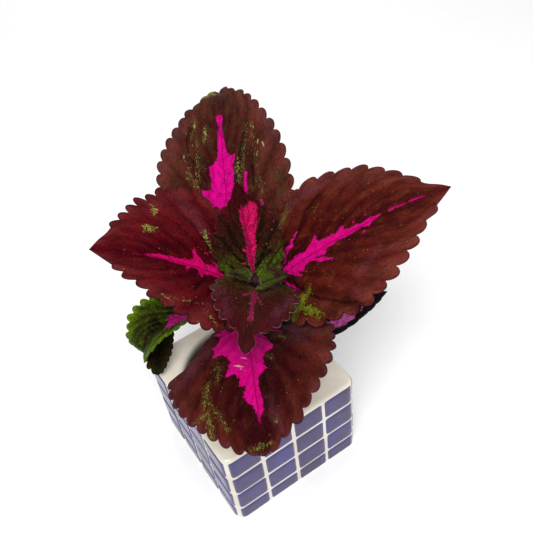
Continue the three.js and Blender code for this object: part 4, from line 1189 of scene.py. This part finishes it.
def topMaterial(name, look):
    material, nodes = newMaterial(name, Roughness=0.48, Specular_IOR_Level=0.018)
    flat = nodes.coordinates("UV")
    grain = nodes.noise(flat, 0.9, 4.0, 0.65)
    cloud = nodes.noise(flat, 0.09, 3.0, 0.6)
    mossy = nodes.noise(flat, 0.16, 4.0, 0.7, 0.6)
    veinGap, veinNumber, midribGap, fromBase = (nodes.attribute(field) for field in (
        "veinGap", "veinNumber", "midribGap", "fromBase"))

    # field: dark by the midrib, browner outwards, mottled
    across = nodes.times(nodes.attribute("acrossShare"), look["acrossLift"])
    place = nodes.minus(nodes.nudge(across, cloud, 0.7), look["placeDrop"])
    place = nodes.math("MULTIPLY_ADD", fromBase, look["tipLift"], place)
    # lighter on the puffs between the veins and darker by them: partly the blade's own tone, partly painted
    # light on the puffs and painted shade in the furrows
    toVein = nodes.math("ABSOLUTE", nodes.minus(nodes.math("FRACT", nodes.plus(veinNumber, 0.5)), 0.5))
    place = nodes.nudge(place, toVein, 0.5, 0.25)
    colour = nodes.cover(look["inner"], look["middle"], place, 0.15, 0.65)
    colour = nodes.cover(colour, look["outer"], place, 0.6, 1.2)
    colour = nodes.cover(colour, look["moss"], mossy, 0.5, 0.68, 0.0, look["mossShare"])
    colour = nodes.cover(colour, look["vein"], grain, 0.45, 0.8, 0.0, 0.4)
    base, margin = look["baseReach"], look["marginReach"]
    baseEdge = nodes.nudge(fromBase, mossy, 0.6)
    colour = nodes.cover(colour, look["base"], baseEdge, base * 0.6, base * 1.15, 1.0, 0.0)
    rimGap = nodes.math("MULTIPLY_ADD", mossy, margin, nodes.attribute("marginGap"))
    colour = nodes.cover(colour, look["rim"], rimGap, margin * 0.7, margin * 1.7, 1.0, 0.0)
    # dark veins: partly the veins' own colour, partly painted shade in their sunken furrows
    veinShare = nodes.ramp(veinGap, 0.05, look["veinWidth"] * 2, look["veinShare"], 0.0)
    veinShare = nodes.times(veinShare, nodes.ramp(fromBase, 0.3, 0.9, 1.0, 0.25))
    veinShare = nodes.times(veinShare, nodes.ramp(nodes.noise(flat, 0.12, 2.0), 0.35, 0.6, 0.35, 1.0))
    colour = nodes.mix(veinShare, colour, look["vein"])

    # painted shade in the creases, tone strokes that are partly painted sheen, and uneven lightness with
    # painted shade and painted light
    # painted shade: a near-black line along each crease
    colour = nodes.cover(colour, look["crease"], nodes.attribute("creaseGap"), 0.2, 1.5, 0.7, 0.0)
    # tone strokes: a purple-grey painted sheen on the big leaves' ridges and margins, the smaller leaves'
    # own tint
    soft, most = look["bloomSoft"], look["bloomShare"]
    bloom = nodes.nudge(nodes.attribute("bloomDepth"), mossy, soft * 1.3)
    colour = nodes.cover(colour, look["bloom"], bloom, -0.45 * soft, 0.55 * soft, 0.0, most)
    lift = nodes.math("MULTIPLY_ADD", nodes.noise(flat, 0.11, 2.0), 0.8, nodes.noise(flat, 0.5, 5.0, 0.75))
    # the lightness attribute carries the painted shade and painted light
    lift = nodes.times(nodes.ramp(lift, 0.7, 1.1, 0.72, 1.42), nodes.attribute("lightness"))
    colour = nodes.vector("SCALE", colour, scale=lift)

    # fine dark veins that net the whole blade
    wander = nodes.add("ShaderNodeTexNoise", {"Vector": flat, "Scale": 0.5}).outputs["Color"]
    bent = nodes.vector("ADD", flat, nodes.vector("SCALE", wander, scale=1.6))
    coarse, fine = (nodes.cells(bent, scale, "DISTANCE_TO_EDGE")["Distance"] for scale in (0.5, 1.15))
    strong, faint = nodes.ramp(coarse, 0.02, 0.16, 1.0, 0.0), nodes.ramp(fine, 0.02, 0.2, 0.6, 0.0)
    netShare = nodes.times(nodes.math("MAXIMUM", strong, faint), look["net"])
    colour = nodes.mix(netShare, colour, look["vein"])

    # flecks: broken green scribbles; sparks: tiny pale glands
    scribble = nodes.noise(flat, look["fleckGrain"], 4.0, 0.7, 1.6)
    fleckDepth = nodes.nudge(nodes.attribute("fleckDepth"), scribble, 22.0, 0.56)
    colour = nodes.cover(colour, look["fleck"], fleckDepth, -0.2, 0.5, 0.0, 0.85)
    dots = nodes.cells(flat, 0.55)
    rare = nodes.math("GREATER_THAN", nodes.vector("DOT_PRODUCT", dots["Color"], (1, 0, 0)), 0.84)
    spark = nodes.times(nodes.ramp(dots["Distance"], 0.05, 0.19, 0.9, 0.0), rare)
    colour = nodes.mix(nodes.times(spark, nodes.ramp(cloud, 0.46, 0.6)), colour, look["spark"])

    # patch: frayed along the side veins, netted and deeper in its veins, with pale glints
    alongVeins = nodes.combine(nodes.times(veinNumber, 7.0), nodes.times(midribGap, 0.22))
    fray = nodes.noise(alongVeins, 1.3, 3.0, 0.65)
    ragged = nodes.noise(flat, 0.75, 4.0, 0.7)
    patchDepth = nodes.nudge(nodes.attribute("patchDepth"), fray, look["fray"])
    patchDepth = nodes.nudge(patchDepth, ragged, look["ragged"])
    lace = nodes.cells(flat, 0.9, "DISTANCE_TO_EDGE")["Distance"]
    blotch = nodes.noise(flat, 0.3, 4.0, 0.7)
    tone = nodes.cover(look["patchDeep"], look["patch"], blotch, 0.35, 0.62)
    for gap, low, high, most in ((lace, 0.03, 0.12, look["lace"]), (veinGap, 0.05, 0.45, 0.65),
                                 (midribGap, 0.3, 2.4, look["core"]), (midribGap, 0.1, 0.45, 0.85)):
        tone = nodes.cover(tone, look["patchVein"], gap, low, high, most, 0.0)
    colour = nodes.cover(colour, tone, patchDepth, -0.12, 0.2)
    glint = nodes.nudge(nodes.attribute("glintDepth"), ragged, 2.0)
    colour = nodes.cover(colour, look["glint"], glint, -0.1, 0.3, 0.0, 0.8)

    # pebbled skin between the fine veins
    height = nodes.plus(nodes.ramp(coarse, 0.0, 0.4), nodes.ramp(fine, 0.0, 0.4, 0.0, 0.4))
    height = nodes.math("MULTIPLY_ADD", grain, 0.4, height)
    nodes.paint(colour, height, 0.35 + look["net"] * 0.6, 0.9 * mm)
    return material


def underMaterial(name, look):  # duller, with raised paler veins
    material, nodes = newMaterial(name, Roughness=0.65, Specular_IOR_Level=0.04)
    grain = nodes.noise(nodes.coordinates("UV"), 0.5, 4.0, 0.6)
    colour = nodes.cover(look["under"], look["middle"], grain, 0.3, 0.7, 0.0, 0.5)
    colour = nodes.cover(colour, look["underVein"], nodes.attribute("veinGap"), 0.2, 0.9, 0.6, 0.0)
    nodes.paint(colour, grain, 0.3, 0.6 * mm)
    return material


hairs = {
    "perArea": 90000.0, "shortest": 0.3 * mm, "longest": 0.8 * mm, "thickness": 0.035 * mm, "lean": 0.5,
    "seed": 21, "tone": tint(140, 104, 112), "deepTone": tint(84, 50, 56),
    "shares": {"leaf_low": 0.8, "leaf_you": 2.0, "leaf_tip": 1.2},  # against a big leaf
}


def hairMaterial(settings):
    material, nodes = newMaterial("leafHair", Roughness=0.6)
    cloud = nodes.noise(nodes.coordinates(), 300.0, 2.0)
    nodes.paint(nodes.mix(cloud, settings["tone"], settings["deepTone"]))
    return material


def hairValues(settings, material, share=1.0):
    return {
        "Density": settings["perArea"] * share, "Shortest": settings["shortest"],
        "Longest": settings["longest"], "Thickness": settings["thickness"], "Lean": settings["lean"],
        "Seed": settings["seed"], "Hair": material,
    }


def hairTree(name, values):  # short tapered hairs standing on the surface, each leaning its own way
    tree, nodes, given = newTree(name, values)
    thrown = nodes.add("GeometryNodeDistributePointsOnFaces", {
        "Mesh": given["Geometry"], "Density": given["Density"], "Seed": given["Seed"],
    })
    cone = nodes.shape("MeshCone", {
        "Vertices": 3, "Side Segments": 1, "Radius Top": 0.0, "Radius Bottom": 1.0, "Depth": 1.0,
    })
    sway = nodes.randomVector(nodes.plus(given["Seed"], 1), (-1, -1, -1), (1, 1, 1))
    way = nodes.vector("ADD", thrown.outputs["Normal"], nodes.vector("SCALE", sway, scale=given["Lean"]))
    turn = nodes.add("FunctionNodeAlignRotationToVector", {"Vector": way}, axis="Z")
    length = nodes.randomFloat(nodes.plus(given["Seed"], 2), given["Shortest"], given["Longest"])
    stood = nodes.shape("InstanceOnPoints", {
        "Points": thrown.outputs["Points"], "Instance": cone, "Rotation": turn.outputs[0],
        "Scale": nodes.combine(given["Thickness"], given["Thickness"], length),
    })
    finishScatter(nodes, stood, given["Hair"], given["Geometry"], groundFirst=False)
    return tree


def makeLeaf(node, plan, materials):
    frameAt, middle, normal, fields, flat = bladeSurface(plan, markings.get(node, leafMarks()))
    rows, columns = middle.shape[:2]
    area, centre = rows * columns, columns // 2
    size = area + 2  # points of one skin, with one at the base and one at the tip
    lift = normal * blade["thickness"] / 2
    ends = [bladePoints(plan, frameAt, np.array([s]), np.array([0.0]))[0] for s in (0.0, 1.0)]
    skins, faces, kinds = [], [], []
    for layer, sign in enumerate((1, -1)):
        skins.append((middle + sign * lift).reshape(-1, 3))
        skins.append(np.array([ends[0] + sign * lift[0, centre], ends[1] + sign * lift[-1, centre]]))
        offset = layer * size
        last = offset + area - columns
        made = [tuple(offset + i for i in face) for face in gridFaces(rows, columns)]
        for j in range(columns - 1):
            made.append((offset + area, offset + j + 1, offset + j))
            made.append((offset + area + 1, last + j, last + j + 1))
        faces += [face[::-1] for face in made] if layer == 0 else made
        kinds += [layer] * len(made)
    edge = [*range(0, area, columns), area + 1, *range(area - 1, 0, -columns), area]
    for a, b in zip(edge, edge[1:] + edge[:1]):
        faces.append((a, b, b + size, a + size))
        kinds.append(0)
    stalk, stalkFaces = tube(*stalkPath(plan, frameAt), 14)
    faces += [tuple(2 * size + i for i in face) for face in stalkFaces]
    kinds += [2] * len(stalkFaces)
    everything = np.vstack([*skins, stalk]) * mm
    piece = meshPiece(node.replace("_", "") + "Blade", everything, faces, materials, kinds)
    spare, unread = len(stalk), 5.0  # the stalk's own skin reads none of the fields
    for name, field in fields.items():
        skin = np.concatenate([field.ravel(), field[[0, -1], centre]])
        floatAttribute(piece, name, np.concatenate([skin, skin, np.full(spare, unread)]))
    skin = np.vstack([flat.reshape(-1, 2), flat[[0, -1], centre]])
    uvFromPoints(piece, np.vstack([skin, skin, np.zeros((spare, 2))]))
    return piece


hairSkin = hairMaterial(hairs)
hairGrowth = hairTree("standingHairs", hairValues(hairs, hairSkin))
for node, plan in leafPlans.items():
    name, kind = node.replace("_", ""), node[:8]
    look = looks[plan["look"]]
    top, under = topMaterial(f"{name}Top", look), underMaterial(f"{name}Under", look)
    leaf = makeLeaf(node, plan, [top, under, stalkSkin])
    share = hairs["shares"].get(kind, 1.0)
    leaf = runTree(leaf, hairGrowth, hairValues(hairs, hairSkin, share), leaf.name)
    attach(leaf, "root")
    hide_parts(node)
    print(f"stage: {node} made with {len(leaf.data.polygons)} faces")
